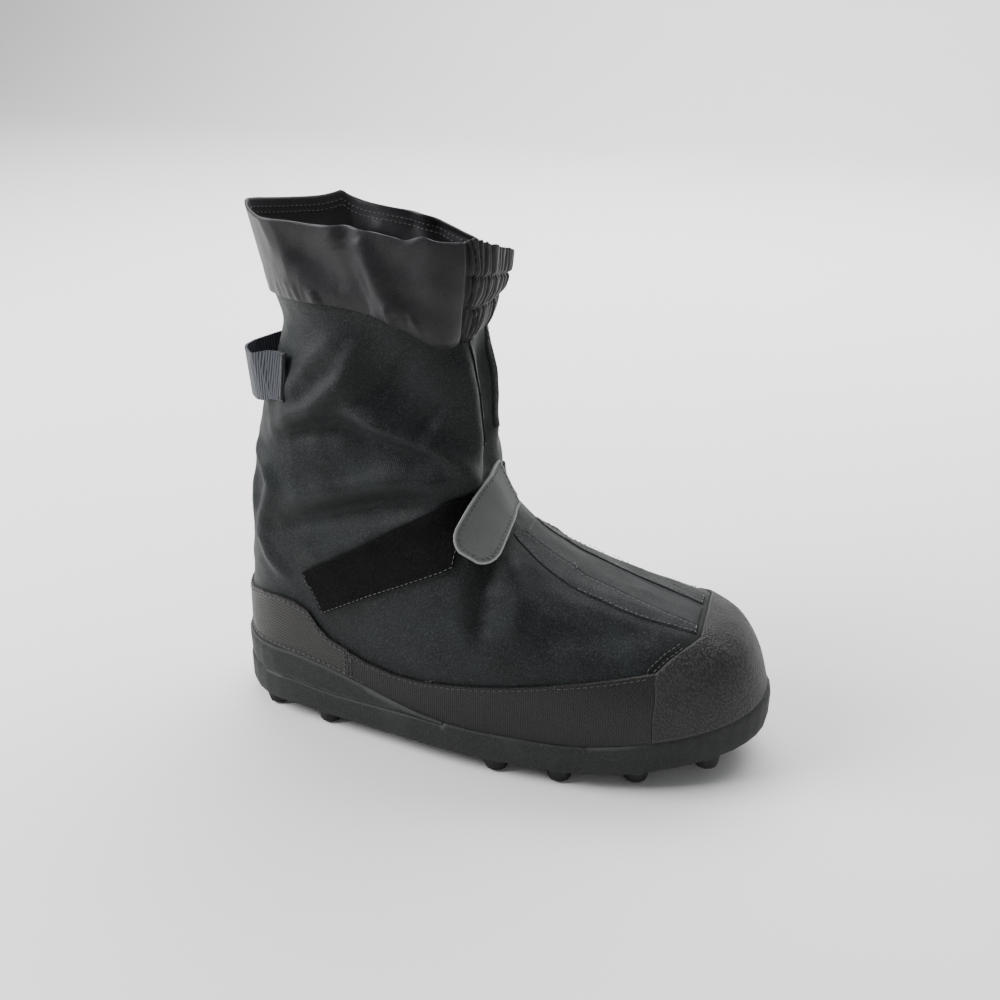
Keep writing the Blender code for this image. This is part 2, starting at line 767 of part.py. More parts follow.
def even_path(points, count, spread=None):
    """The same path with evenly spaced points. Every column of the rows is carried along."""
    length = np.concatenate([[0], np.cumsum(np.linalg.norm(np.diff(points[:, :3], axis=0), axis=1))])
    even = np.linspace(0, 1, count) if spread is None else np.asarray(spread)
    return np.column_stack([curve_through(even * length[-1], length, column) for column in points.T])


def unit(vectors):
    return vectors / np.linalg.norm(vectors, axis=-1, keepdims=True)


def frames(path, across):
    """Square frames along a path: across made square to it, and the normals of the band's outer side."""
    tangents = unit(np.gradient(path, axis=0))
    across = unit(across - tangents * np.sum(across * tangents, axis=1, keepdims=True))
    return across, np.cross(across, tangents)


def band_mesh(name, path, across, normals, widths, low, high):
    """A flat band along a path, between two distances from it on its outer side, with closed ends."""
    bm = bmesh.new()
    loops = []
    for point, normal, side, width in zip(path, normals, across, widths):
        half = side * width / 2
        under, over = point + normal * low, point + normal * high
        loops.append([bm.verts.new(corner) for corner in (under - half, under + half, over + half, over - half)])
    for a, b in zip(loops, loops[1:]):
        bm.faces.new((a[0], a[1], b[1]))
        bm.faces.new((a[0], b[1], b[0]))
        bm.faces.new((a[3], b[2], a[2]))
        bm.faces.new((a[3], b[3], b[2]))
        bm.faces.new((a[1], a[2], b[2], b[1]))
        bm.faces.new((a[3], a[0], b[0], b[3]))
    bm.faces.new(loops[0])
    bm.faces.new(loops[-1])
    return mesh_of(name, bm)


def strap_seat():
    """Where the strap's plane cuts the upper, from the inner side to the instep: points and normals."""
    grid = rings(np.linspace(0.3, 0.95, 60), folded=False)
    normals = outward(grid)
    line = []
    for column in range(HALF_COLUMNS, grid.shape[1]):
        x, z = grid[:, column, 0], grid[:, column, 2]
        over = z - STRAP_HEIGHT * INSTEP_HEIGHT - STRAP_SLOPE * (x - STRAP_FRONT * SOLE_LENGTH)
        k = int(np.argmax(over > 0))
        share = over[k - 1] / (over[k - 1] - over[k])
        point = grid[k - 1, column] + (grid[k, column] - grid[k - 1, column]) * share
        normal = normals[k - 1, column] + (normals[k, column] - normals[k - 1, column]) * share
        if point[0] > STRAP_START * SOLE_LENGTH:
            line.append([*point, *normal])
    return np.array(line)[::-1]


def make_strap():
    """The strap is sewn to the inner side and lies over the instep, up to under its tab."""
    middle = np.array((STRAP_FRONT * SOLE_LENGTH, STRAP_HEIGHT * INSTEP_HEIGHT))
    along = unit(np.array((1, STRAP_SLOPE)))
    edge = np.array((-along[1], along[0])) * TAPE_WIDTH / 2
    back = middle + along * (STRAP_START * SOLE_LENGTH - middle[0]) / along[0]
    ahead = middle + along * TAPE_WIDTH
    outline = [back - edge, ahead - edge, ahead + STRAP_TAPER * edge, back + edge]
    cutter = prism("strap_form", outline, STRAP_END * SHAFT_WIDTH, BALL_WIDTH)
    overlay("strap", rings(UPPER_LEVELS, folded=False), (3, 14), cutter, TAPE_THICKNESS, BLACK_NYLON)


def make_tab():
    """The tab starts on the strap, over the instep, and stands off the outer side."""
    seat = even_path(strap_seat(), 12)
    rise = ease(np.linspace(0, 1, len(seat)), 0.15, 0.75)
    lifted = seat[:, :3] + unit(seat[:, 3:]) * (TOUCH + (STRAP_LIFT - TOUCH) * rise)[:, None]
    along = unit(np.gradient(seat[:, :3], axis=0))
    lying = np.cross(unit(seat[:, 3:]), along)
    lying = unit(lying * np.sign(lying[:, 2])[:, None])
    lean = unit(np.array(TAB_LEAN))
    turn = ease(np.linspace(0, 1, len(seat)), 0.55, 1.0)[:, None]
    lying = lying + (lean - lying) * turn
    tab = np.array(TAB_LINE) * (SOLE_LENGTH, SHAFT_WIDTH, INSTEP_HEIGHT)
    points = np.concatenate([lifted, tab])
    turned = unit(np.array(TAB_TIP_LEAN))
    twist = np.linspace(0.1, 1, len(tab))[:, None]
    across = np.concatenate([lying, lean + (turned - lean) * twist])
    spread = np.concatenate([np.linspace(0, 0.90, 22), [0.925, 0.95, 0.97, 0.985, 0.995, 1.0]])
    path = even_path(np.column_stack([points, across]), 0, spread)
    path, across = path[:, :3], path[:, 3:]
    left = np.concatenate([[0], np.cumsum(np.linalg.norm(np.diff(path, axis=0), axis=1))])
    left = left[-1] - left
    across, normals = frames(path, across)
    widths = TAB_WIDTH * round_end(left[TAB_STEP:] + 0.0008, TAB_TIP, 2.2)
    low = TAPE_THICKNESS + 2.5 * TOUCH
    tab = band_mesh("strap_tab", path[TAB_STEP:], across[TAB_STEP:], normals[TAB_STEP:], widths, low,
                    low + TAB_THICKNESS)
    new_object("strap_tab", tab, GREY_RUBBER)


def side_point(along, up, side, lift):
    """A point off the upper's side, and the outward normal there."""
    x, z, step = along * SOLE_LENGTH, up * COLLAR_HEIGHT, 0.5 * TAPE_WIDTH
    across = float(half_width(x, z, side))
    slope_x = float(half_width(x + step / 4, z, side) - half_width(x - step / 4, z, side)) / (step / 2)
    slope_z = float(half_width(x, z + step, side) - half_width(x, z - step, side)) / (2 * step)
    normal = unit(np.array([-slope_x, side, -slope_z]))
    return np.array([x, side * across, z]) + normal * lift, normal


def make_loop():
    """The webbing pull loop behind the shaft. Its ends lie on the shaft's two sides."""
    free = np.array(LOOP_LINE) * (SOLE_LENGTH, SHAFT_WIDTH, COLLAR_HEIGHT)
    fold = unit(np.array(LOOP_FOLD_LEAN))
    rows = [[*point, *fold] for point in free]
    for side in (-1, 1):
        for along, up, lift in LOOP_ENDS[::-1]:
            point, normal = side_point(along, up, side, LOOP_LIFT * lift)
            lean = np.array(LOOP_END_LEAN) - normal * np.dot(normal, LOOP_END_LEAN)
            row = [*point, *unit(lean)]
            rows = [row] + rows if side < 0 else rows + [row]
    path = even_path(np.array(rows), 26)
    across, normals = frames(path[:, :3], path[:, 3:])
    widths = [TAPE_WIDTH] * len(path)
    loop = band_mesh("pull_loop", path[:, :3], across, normals, widths, 0, LOOP_THICKNESS)
    new_object("pull_loop", loop, GREY_WEBBING)


def settle():
    """Puts the middle of the base of the bounding box at the origin."""
    graph = bpy.context.evaluated_depsgraph_get()
    corners = []
    for obj in bpy.data.objects:
        if obj.type == "MESH" and not obj.hide_render:
            mesh = obj.evaluated_get(graph).data
            corners += [obj.matrix_world @ v.co for v in mesh.vertices]
    low = [min(corner[k] for corner in corners) for k in range(3)]
    high = [max(corner[k] for corner in corners) for k in range(3)]
    middle = Vector(((low[0] + high[0]) / 2, (low[1] + high[1]) / 2, low[2]))
    bpy.data.objects["overshoe"].location = -middle
    print("moved by", [round(-v, 6) for v in middle], "size", [round(h - l, 5) for h, l in zip(high, low)])


def main():
    for obj in list(bpy.data.objects):
        bpy.data.objects.remove(obj, do_unlink=True)
    frame = bpy.data.objects.new("overshoe", None)
    bpy.context.scene.collection.objects.link(frame)
    make_outsole()
    make_wedge()
    make_insole()
    grid = make_upper()
    make_cuff()
    make_rand(grid)
    make_vamp(grid)
    make_patch(grid)
    make_strap()
    make_tab()
    make_loop()
    settle()


main()
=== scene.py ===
"""The looks of a winter overshoe: folded and gathered cloth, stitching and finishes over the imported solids.

Tables are in millimetres, measured from the heel's back, the sole's middle line and the floor.
"""

from math import cos, pi, radians, sin

import bmesh
import bpy
import numpy as np
from mathutils import Matrix, Vector
from mathutils.bvhtree import BVHTree
from mathutils.kdtree import KDTree


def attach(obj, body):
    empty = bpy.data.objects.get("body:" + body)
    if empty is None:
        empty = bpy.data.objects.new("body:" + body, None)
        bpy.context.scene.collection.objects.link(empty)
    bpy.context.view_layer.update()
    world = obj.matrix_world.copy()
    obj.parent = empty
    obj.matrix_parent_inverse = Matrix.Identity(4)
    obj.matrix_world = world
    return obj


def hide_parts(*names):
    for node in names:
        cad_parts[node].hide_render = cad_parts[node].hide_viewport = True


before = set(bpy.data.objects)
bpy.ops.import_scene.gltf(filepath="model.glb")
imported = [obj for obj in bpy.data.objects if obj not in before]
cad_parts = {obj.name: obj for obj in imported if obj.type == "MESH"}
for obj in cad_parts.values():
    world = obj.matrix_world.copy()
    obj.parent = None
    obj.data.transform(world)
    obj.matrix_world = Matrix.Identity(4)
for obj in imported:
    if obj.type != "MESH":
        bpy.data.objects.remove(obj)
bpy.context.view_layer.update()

MM = 0.001
HEEL = np.array((-155.0, 0.898, 0.0)) * MM

# The camera, as the photograph was taken
CAMERA_PLACE = (306.1, -525.0, 393.0)
CAMERA_AZIMUTH = 16.05
CAMERA_ELEVATION = 25.06
CAMERA_ROLL = 0.43
CAMERA_LENS = 39.766
SENSOR_WIDTH = 36.0

# Folds of the outer side: how high they stand, how wide they are, and the points that they run through
SHAFT_FOLDS = (
    (3.0, 6.0, ((40.6, -34.0, 180.2), (52.0, -38.1, 186.4), (63.0, -40.1, 191.9), (83.5, -40.0, 211.6),
                (91.8, -39.6, 228.4))),
    (1.6, 7.0, ((48.3, -34.7, 197.5), (63.2, -36.9, 216.0), (82.4, -39.5, 232.7))),
    (3.0, 5.5, ((89.4, -40.5, 196.1), (104.9, -40.6, 189.0), (126.0, -38.5, 182.0), (140.4, -31.1, 170.6),
                (148.6, -21.4, 156.7))),
    (-3.0, 7.5, ((47.7, -37.3, 179.2), (64.5, -40.6, 184.5), (81.4, -40.7, 184.5), (98.7, -40.9, 177.9),
                 (131.5, -36.7, 167.9))),
    (-4.0, 14.0, ((104.1, -39.6, 218.3), (114.3, -39.6, 207.3), (124.2, -38.5, 197.4),
                  (133.6, -35.5, 188.3))),
    (1.8, 6.0, ((141.1, -21.8, 227.8), (143.7, -22.1, 215.1), (146.2, -21.8, 202.0),
                (148.5, -19.1, 171.0))),
    (2.2, 7.0, ((56.3, -41.7, 146.2), (83.0, -41.6, 151.5), (99.5, -41.4, 157.6), (114.9, -40.8, 162.2),
                (140.5, -31.8, 160.6))),
    (-2.4, 7.0, ((40.1, -40.0, 124.0), (61.2, -42.2, 131.1), (80.2, -42.2, 138.0), (104.8, -41.8, 145.9),
                 (125.7, -39.9, 149.6))),
    (1.2, 6.0, ((59.9, -42.9, 107.6), (93.2, -43.5, 124.5), (133.7, -37.9, 145.3))),
    (1.8, 4.5, ((23.3, -22.6, 163.4), (33.2, -33.8, 156.2), (36.9, -37.2, 146.9), (30.4, -35.5, 129.0),
                (27.3, -34.4, 114.5), (32.9, -37.7, 103.8), (40.2, -40.2, 96.2))),
    (1.2, 4.0, ((22.1, -25.3, 148.9), (22.1, -28.9, 129.2), (23.1, -31.0, 114.8))),
    (-3.0, 6.5, ((161.7, -31.7, 121.3), (160.5, -40.4, 113.1), (158.7, -47.1, 104.5), (158.9, -51.2, 94.2),
                 (159.4, -54.6, 81.7))),
    (1.6, 6.0, ((169.1, -28.8, 117.4), (178.1, -40.9, 101.4), (177.2, -52.3, 83.5))),
    (-1.2, 9.0, ((190.0, -49.0, 84.0), (215.0, -42.0, 84.0), (240.0, -34.0, 82.0))),
)
CUFF_FOLDS = (
    (2.2, 6.0, ((82.8, -44.5, 286.8), (97.8, -43.8, 269.6), (111.3, -43.5, 254.2), (116.8, -43.1, 247.7))),
    (1.6, 4.5, ((97.2, -44.4, 282.9), (107.7, -43.7, 264.6))),
    (-2.2, 7.0, ((62.5, -44.2, 279.6), (81.8, -43.5, 263.5), (89.1, -43.1, 256.7))),
    (-1.8, 5.0, ((88.9, -44.6, 287.0), (93.9, -43.9, 273.1), (98.1, -43.3, 259.9))),
    (-1.2, 8.0, ((118.5, -44.7, 275.0), (123.1, -44.5, 264.5), (127.0, -42.0, 254.6))),
)
# The inner side has folds like the outer side's, moved along and down by these and this much flatter
INNER_SHIFT = (7.0, -5.0)
INNER_SHARE = 0.75
# Folds are drawn a little deeper than their tables say
FOLD_SHARE = 1.8

# The seam under the cuff and its rim: height at the front, at the back, and how far they bow up between
CUFF_SEAM = (233.0, 247.0, 10.0)
CUFF_RIM = (276.0, 291.0, 5.0)
# Where the cuff begins at the front and ends at the back, and how far its sides stand from the middle
CUFF_ENDS = (151.0, 22.0)
CUFF_HALF_WIDTH = 43.0
# How far forward the cuff's edges count as its crisp rear corners
REAR_CORNERS = 75.0

# The cuff's gathered front: its arc's centre, half the arc's angle, and how much wider its fine mesh is
GATHER_CENTRE = 118.0
GATHER_HALF_ANGLE = 46.0
GATHER_MARGIN = 7.0
# Its pleats: least and greatest width, depth, how far they stand up at the rim, and where a row starts
GATHER_PITCH = (2.0, 5.4)
GATHER_DEPTH = 2.6
GATHER_RISE = 2.0
PLEATS_START = -66.0
PLEATS_IN_ROW = 40
# Its elastic: how many rows of pleats it makes, their height, and how wide and deep it pulls the cloth in
ROWS = 3
ROW_HEIGHT = 13.5
ELASTIC_WIDTH = 1.1
ELASTIC_DEPTH = 1.1
# The crease where the gathers begin: its depth, and its width in degrees
CREASE_DEPTH = 2.6
CREASE_WIDTH = 2.0

# Small puckers along the cuff's seam: the first and last place along, the step between them, and their width
PUCKERS = (50.0, 138.0, 4.3)
PUCKER_WIDTH = 2.0
# Where the cuff's rim stands up at its corners: place along, place across, height
RIM_CORNERS = ((50.6, 44.7, 6.0), (22.0, 0.0, 1.5))
# How the rim rises or falls towards the front: side, where along the shoe that sets in and ends, height
RIM_SLOPES = ((-1, 70.0, 92.0, 2.5), (-1, 119.0, 133.0, 5.5), (1, 92.0, 140.0, -9.0))
# Where the cuff's lower edge hangs down beside the gathers: place along, place across, height, width
SEAM_CORNER = (136.0, -36.0, -6.0, 16.0)

# How thick the cloth is, and how far the shaft lies below its plain form where the cuff covers it
SHAFT_WALL = 1.6
CUFF_WALL = 1.2
COVERED_DEPTH = 0.9
# How far below the rim the hem's rows of stitches lie, how far forward they run, and their depth in the cloth
HEM_DROPS = (5.0, 8.0)
HEM_END = 140.0
HEM_DEPTH = 1.3
# How far the cuff's turned-in edge reaches into the shaft's cloth
TURN_IN = 1.5
# How far inside the tab's edge it is sewn
TAB_SEAM = 2.6

# The pull loop's line, from the outer side round behind the shaft to the inner side
LOOP_LINE = (
    (49.9, -40.0, 207.8),
    (29.8, -26.7, 204.3),
    (22.3, -19.2, 202.8),
    (14.9, -6.7, 202.1),
    (14.9, 0.0, 202.1),
    (17.4, 8.4, 202.2),
    (22.3, 18.9, 202.8),
    (29.8, 26.7, 204.3),
    (49.9, 40.0, 207.8),
)

# The stage, in metres
FLOOR_REACH = 4.0
LIGHTS = (
    # name, watts, width, place, aim
    ("window", 58.0, 0.9, (-1.25, -0.50, 1.15), (0.0, 0.0, 0.12)),
    ("ceiling", 34.0, 1.8, (0.1, 0.9, 1.7), (0.0, 0.1, 0.05)),
    ("fill", 3.0, 1.2, (1.3, -1.2, 0.9), (0.05, 0.0, 0.08)),
    ("backdrop", 210.0, 3.0, (0.0, 1.6, 2.2), (0.0, 3.2, 0.2)),
)


def place(points):
    """Points of a table, in millimetres, as metres in the shared frame."""
    return np.asarray(points, float) * MM + HEEL


def ease(at, start, end):
    """0 before start, 1 after end, and a smooth step between them."""
    t = np.clip((np.asarray(at, float) - start) / (end - start), 0, 1)
    return t * t * (3 - 2 * t)


# Shader maths


class Value:
    """A shader socket. Arithmetic on it adds the Math nodes that work it out."""

    def __init__(self, tree, socket):
        self.tree, self.socket = tree, socket

    def math(self, operation, *others):
        return add(self.tree, "ShaderNodeMath", {"operation": operation}, dict(enumerate((self, *others))))

    def __add__(self, other):
        return self.math("ADD", other)

    def __mul__(self, other):
        return self.math("MULTIPLY", other)

    def __sub__(self, other):
        return self.math("SUBTRACT", other)

    def __rsub__(self, other):
        return self.math("MULTIPLY", -1.0).math("ADD", other)

    def __pow__(self, other):
        return self.math("POWER", other)

    def __abs__(self):
        return self.math("ABSOLUTE")

    __radd__ = __add__
    __rmul__ = __mul__

    def sine(self, wavelength):
        return (self * (2 * pi / wavelength)).math("SINE")

    def step(self, start, end):
        """0 at start, 1 at end and a smooth step between them."""
        return add(
            self.tree, "ShaderNodeMapRange", {"interpolation_type": "SMOOTHSTEP"},
            {"Value": self, "From Min": start, "From Max": end},
        )


def add(tree, kind, settings=None, inputs=None, output=0):
    """Adds any node: its settings, then the values or links of its sockets. Gives one of its outputs."""
    node = tree.nodes.new(kind)
    for name, value in (settings or {}).items():
        setattr(node, name, value)
    for name, value in (inputs or {}).items():
        if isinstance(value, Value):
            tree.links.new(value.socket, node.inputs[name])
        else:
            node.inputs[name].default_value = value
    return Value(tree, node.outputs[output])


class Finish:
    """A material for one kind of surface, with the socket helpers that its pattern needs."""

    def __init__(self, name, **constants):
        self.material = bpy.data.materials.new(name)
        self.material.use_nodes = True
        self.tree = self.material.node_tree
        self.shader = self.tree.nodes["Principled BSDF"]
        for socket, value in constants.items():
            self.shader.inputs[socket.replace("_", " ")].default_value = value
        self.place = self.add("ShaderNodeTexCoord", output="Object")
        self.facing = self.add("ShaderNodeTexCoord", output="Normal")

    def add(self, kind, settings=None, inputs=None, output=0):
        return add(self.tree, kind, settings, inputs, output)

    def attribute(self, name):
        """A number that the piece's mesh carries at every point, in metres."""
        return self.add("ShaderNodeAttribute", {"attribute_name": name}, output="Fac")

    def axes(self, vector):
        return [self.add("ShaderNodeSeparateXYZ", None, {0: vector}, output=k) for k in range(3)]

    def noise(self, size, detail=3.0, stretch=(1, 1, 1), roughness=0.55):
        """Noise of about that grain size in metres, from 0 to 1."""
        scaled = self.add("ShaderNodeMapping", None, {0: self.place, "Scale": stretch})
        return self.add(
            "ShaderNodeTexNoise", None,
            {"Vector": scaled, "Scale": 1 / size, "Detail": detail, "Roughness": roughness},
        )

    def boxed(self, pattern):
        """A pattern of two directions, laid on from the side, the end or above, by what a face looks at."""
        x, y, z = self.axes(self.place)
        shares = [abs(axis) ** 4 for axis in self.axes(self.facing)]
        total = shares[0] + shares[1] + shares[2]
        layers = (pattern(y, z) * shares[0], pattern(x, z) * shares[1], pattern(x, y) * shares[2])
        return (layers[0] + layers[1] + layers[2]).math("DIVIDE", total)

    def blend(self, share, low, high):
        """A colour between two colours, by share."""
        return self.add(
            "ShaderNodeMix", {"data_type": "RGBA", "clamp_factor": True},
            {0: share, 6: low if isinstance(low, Value) else (*low, 1),
             7: high if isinstance(high, Value) else (*high, 1)}, output=2,
        )

    def paint(self, colour=None, roughness=None, height=None, depth=1 * MM, strength=1.0):
        """Links the colour, the roughness and the relief, where a height of 1 stands for depth, in metres."""
        if colour is not None:
            self.tree.links.new(colour.socket, self.shader.inputs["Base Color"])
        if roughness is not None:
            self.tree.links.new(roughness.socket, self.shader.inputs["Roughness"])
        if height is not None:
            shape = {"Strength": strength, "Distance": depth, "Height": height}
            relief = self.add("ShaderNodeBump", None, shape)
            self.tree.links.new(relief.socket, self.shader.inputs["Normal"])
        return self.material


def weave(pitch):
    """The relief of crossing threads of that pitch: round bumps in a chequer."""
    return lambda u, v: u.sine(2 * pitch) * v.sine(2 * pitch) * 0.5 + 0.5


def columns(pitch):
    """The relief of coarse threads in upright columns."""
    return lambda u, v: u.sine(pitch) * 0.30 + u.sine(2 * pitch) * v.sine(pitch * 1.3) * 0.20 + 0.5


def twill(pitch):
    """The relief of fine slanting threads."""
    return lambda u, v: (u + v * 0.6).sine(pitch) * 0.5 + 0.5


def shaft_nylon():
    finish = Finish("shaft_nylon", Specular_IOR_Level=0.17, Sheen_Weight=0.03, Sheen_Roughness=0.45,
                    Sheen_Tint=(0.80, 0.90, 0.92, 1))
    mottle = finish.noise(0.022, 4.0)
    flecks = finish.noise(0.0007, 2.0)
    threads = finish.boxed(twill(0.0011))
    colour = finish.blend(mottle.step(0.35, 0.70), (0.0042, 0.0047, 0.0052), (0.0078, 0.0094, 0.0097))
    colour = finish.blend(flecks.step(0.46, 0.70) * 0.60, colour, (0.034, 0.040, 0.041))
    # Painted shade: the cloth is coloured darker beside the toe cap's edge
    colour = finish.blend(finish.attribute("painted_shade") * 0.6, colour, (0.0035, 0.0038, 0.0040))
    rough = 0.48 + mottle * 0.16
    return finish.paint(colour, rough, threads * 0.5 + flecks * 0.9, 0.26 * MM, 0.8)


def cuff_nylon():
    finish = Finish("cuff_nylon", Specular_IOR_Level=0.30, Sheen_Weight=0.03, Sheen_Roughness=0.40,
                    Sheen_Tint=(0.92, 0.88, 0.96, 1))
    mottle = finish.noise(0.018, 3.0)
    flecks = finish.noise(0.0006, 2.0, (1, 1, 2.0))
    threads = finish.boxed(weave(0.0007))
    colour = finish.blend(mottle.step(0.30, 0.72), (0.0058, 0.0056, 0.0070), (0.0096, 0.0091, 0.0110))
    colour = finish.blend(flecks.step(0.50, 0.74) * 0.5, colour, (0.040, 0.038, 0.044))
    return finish.paint(colour, 0.42 + flecks * 0.16, threads * 0.5 + flecks * 0.6, 0.18 * MM, 0.7)


def ballistic_cloth():
    """Coarse coated cloth with its threads in upright columns, shiny on the threads' crowns."""
    finish = Finish("ballistic_cloth", Specular_IOR_Level=0.30)
    crowns = finish.boxed(columns(0.0012))
    mottle = finish.noise(0.014, 3.0)
    wear = finish.noise(0.0011, 2.0)
    pale = crowns.step(0.25, 0.85) * (0.45 + 0.55 * mottle)
    colour = finish.blend(pale, (0.0030, 0.0029, 0.0028), (0.0105, 0.0100, 0.0094))
    rough = 0.50 - crowns.step(0.4, 0.95) * 0.20 + wear * 0.12
    return finish.paint(colour, rough, crowns + wear * 0.25, 0.35 * MM, 0.9)


def counter_cloth():
    """The heel counter's ribbed cloth: fine lines across it on a warm grey ground."""
    finish = Finish("counter_cloth", Specular_IOR_Level=0.28, Sheen_Weight=0.03)
    x, _, z = finish.axes(finish.place)
    ribs = (z + x * 0.22).sine(0.0019) * 0.5 + 0.5
    threads = finish.boxed(weave(0.0008))
    mottle = finish.noise(0.016, 3.0)
    pale = ribs * 0.55 + threads * 0.2 + mottle * 0.25
    colour = finish.blend(pale, (0.0062, 0.0059, 0.0056), (0.024, 0.0228, 0.0214))
    return finish.paint(colour, 0.48 + mottle * 0.15, ribs * 0.8 + threads * 0.4, 0.3 * MM, 0.8)


def toe_rubber():
    """Coated cloth with a long grain that slants down to the toe, paler on its crowns and along its edge."""
    finish = Finish("toe_rubber", Specular_IOR_Level=0.24)
    slanted = finish.add(
        "ShaderNodeMapping", {"vector_type": "TEXTURE"},
        {0: finish.place, "Rotation": (0, -0.52, 0), "Scale": (1.0, 1.0, 2.0)},
    )
    pebbles = finish.add(
        "ShaderNodeTexVoronoi", {"feature": "F1"}, {"Vector": slanted, "Scale": 1 / 0.0009},
    )
    fine = finish.noise(0.0008, 3.0)
    mottle = finish.noise(0.030, 3.0)
    crown = 1 - pebbles.step(0.05, 0.70)
    colour = finish.blend(crown * 0.7 + fine * 0.3, (0.0070, 0.0074, 0.0071), (0.034, 0.0365, 0.034))
    colour = finish.blend(mottle.step(0.40, 0.75) * 0.25, colour, (0.034, 0.036, 0.034))
    edge = 1 - finish.attribute("edge").step(0.3 * MM, 1.3 * MM)
    colour = finish.blend(edge * 0.25, colour, (0.085, 0.086, 0.080))
    return finish.paint(colour, 0.42 + fine * 0.20, crown * 0.9 + fine * 0.3, 0.35 * MM, 1.0)


def sole_rubber():
    finish = Finish("sole_rubber", Specular_IOR_Level=0.24)
    speckle = finish.noise(0.0010, 3.0)
    mottle = finish.noise(0.030, 3.0)
    _, _, z = finish.axes(finish.place)
    tread = z.step(5 * MM, 10 * MM)
    colour = finish.blend(speckle.step(0.42, 0.72), (0.0095, 0.0100, 0.0102), (0.022, 0.0235, 0.024))
    colour = finish.blend(mottle.step(0.45, 0.8) * 0.4, colour, (0.027, 0.0285, 0.029))
    # Painted highlight: the sole's and the wedge's edges are coloured paler, as light catching their rounded
    # lip
    painted_lip_highlight = 1 - finish.attribute("edge").step(0.5 * MM, 2.4 * MM)
    colour = finish.blend(painted_lip_highlight * 0.5, colour, (0.050, 0.052, 0.053))
    colour = finish.blend(1 - tread, colour, (0.006, 0.006, 0.006))
    return finish.paint(colour, 0.60 + speckle * 0.16, speckle, 0.35 * MM, 0.7)


def pile_tape():
    """Deep black looped pile."""
    finish = Finish("pile_tape", Specular_IOR_Level=0.12, Roughness=0.95)
    loops = finish.noise(0.0012, 4.0, roughness=0.75)
    clumps = finish.noise(0.005, 2.0)
    colour = finish.blend(loops.step(0.45, 0.75), (0.0022, 0.0022, 0.0026), (0.012, 0.012, 0.014))
    return finish.paint(colour, None, loops + clumps * 0.5, 1.4 * MM, 1.0)


def black_tape():
    finish = Finish("black_tape", Specular_IOR_Level=0.18)
    threads = finish.boxed(weave(0.0010))
    wear = finish.noise(0.004, 3.0)
    colour = finish.blend(threads * 0.6 + wear * 0.4, (0.005, 0.005, 0.006), (0.018, 0.018, 0.020))
    return finish.paint(colour, 0.62 + wear * 0.15, threads, 0.3 * MM, 0.8)


def tab_rubber():
    """Grey leather-like rubber with a paler cut edge, pressed down a little where it is sewn."""
    finish = Finish("tab_rubber", Specular_IOR_Level=0.12)
    grain = finish.noise(0.0009, 3.0)
    mottle = finish.noise(0.009, 3.0)
    edge = finish.attribute("edge")
    rim = 1 - edge.step(0.7 * MM, 1.3 * MM)
    groove = 1 - abs(edge - TAB_SEAM * MM).step(0.2 * MM, 0.8 * MM)
    colour = finish.blend(grain * 0.5 + mottle * 0.5, (0.058, 0.061, 0.059), (0.100, 0.104, 0.101))
    colour = finish.blend(rim * 0.8, colour, (0.21, 0.22, 0.21))
    return finish.paint(colour, 0.60 + grain * 0.2, grain * 0.25 + rim * 0.3 - groove * 0.4, 0.5 * MM, 0.7)


def loop_webbing():
    """Webbing with ribs across its length, and a bluish shine."""
    finish = Finish("loop_webbing", Specular_IOR_Level=0.30, Sheen_Weight=0.04,
                    Sheen_Tint=(0.75, 0.82, 1.0, 1))
    along = finish.attribute("along")
    ribs = along.sine(1.7 * MM) * 0.5 + 0.5
    _, _, z = finish.axes(finish.place)
    threads = z.sine(0.9 * MM) * 0.5 + 0.5
    wear = finish.noise(0.006, 3.0)
    pale = ribs.step(0.2, 0.8) * 0.8 + wear * 0.2
    colour = finish.blend(pale, (0.011, 0.0125, 0.016), (0.040, 0.044, 0.056))
    return finish.paint(colour, 0.48 + wear * 0.12, ribs + threads * 0.25, 0.5 * MM, 0.9)


def felt():
    finish = Finish("felt", Specular_IOR_Level=0.15, Sheen_Weight=0.4, Roughness=0.95)
    fibres = finish.noise(0.0016, 4.0, roughness=0.7)
    colour = finish.blend(fibres, (0.018, 0.018, 0.019), (0.050, 0.050, 0.052))
    return finish.paint(colour, None, fibres, 0.8 * MM, 0.8)


def thread(name, low, high):
    finish = Finish(name, Specular_IOR_Level=0.4, Sheen_Weight=0.3)
    fibres = finish.noise(0.0006, 2.0)
    return finish.paint(finish.blend(fibres, low, high), 0.55 + fibres * 0.2, fibres, 0.15 * MM, 0.6)


def floor_paper():
    finish = Finish("floor_paper", Specular_IOR_Level=0.2, Roughness=0.85)
    mottle = finish.noise(0.35, 2.0)
    colour = finish.blend(mottle, (0.68, 0.68, 0.67), (0.71, 0.71, 0.70))
    return finish.paint(colour)


# Shapes


def copy_of(node):
    """A CAD node's solid as a bmesh, with its loose triangles joined."""
    bm = bmesh.new()
    bm.from_mesh(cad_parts[node].data)
    bmesh.ops.remove_doubles(bm, verts=bm.verts, dist=0.01 * MM)
    bm.normal_update()
    return bm


def outer_wall(node, flattest=1.0):
    """The outer wall of a hollow node, found by spreading from its foremost face as far as the rims."""
    bm = copy_of(node)
    first = max(bm.faces, key=lambda face: face.calc_center_median().x * face.normal.x)
    wall, fresh = {first}, [first]
    while fresh:
        for edge in fresh.pop().edges:
            if edge.calc_face_angle(0) < radians(60):
                found = [face for face in edge.link_faces if face not in wall and face.normal.z < flattest]
                wall.update(found)
                fresh += found
    bmesh.ops.delete(bm, geom=[face for face in bm.faces if face not in wall], context="FACES")
    bmesh.ops.join_triangles(
        bm, faces=bm.faces, angle_face_threshold=radians(50), angle_shape_threshold=radians(50),
    )
    return bm


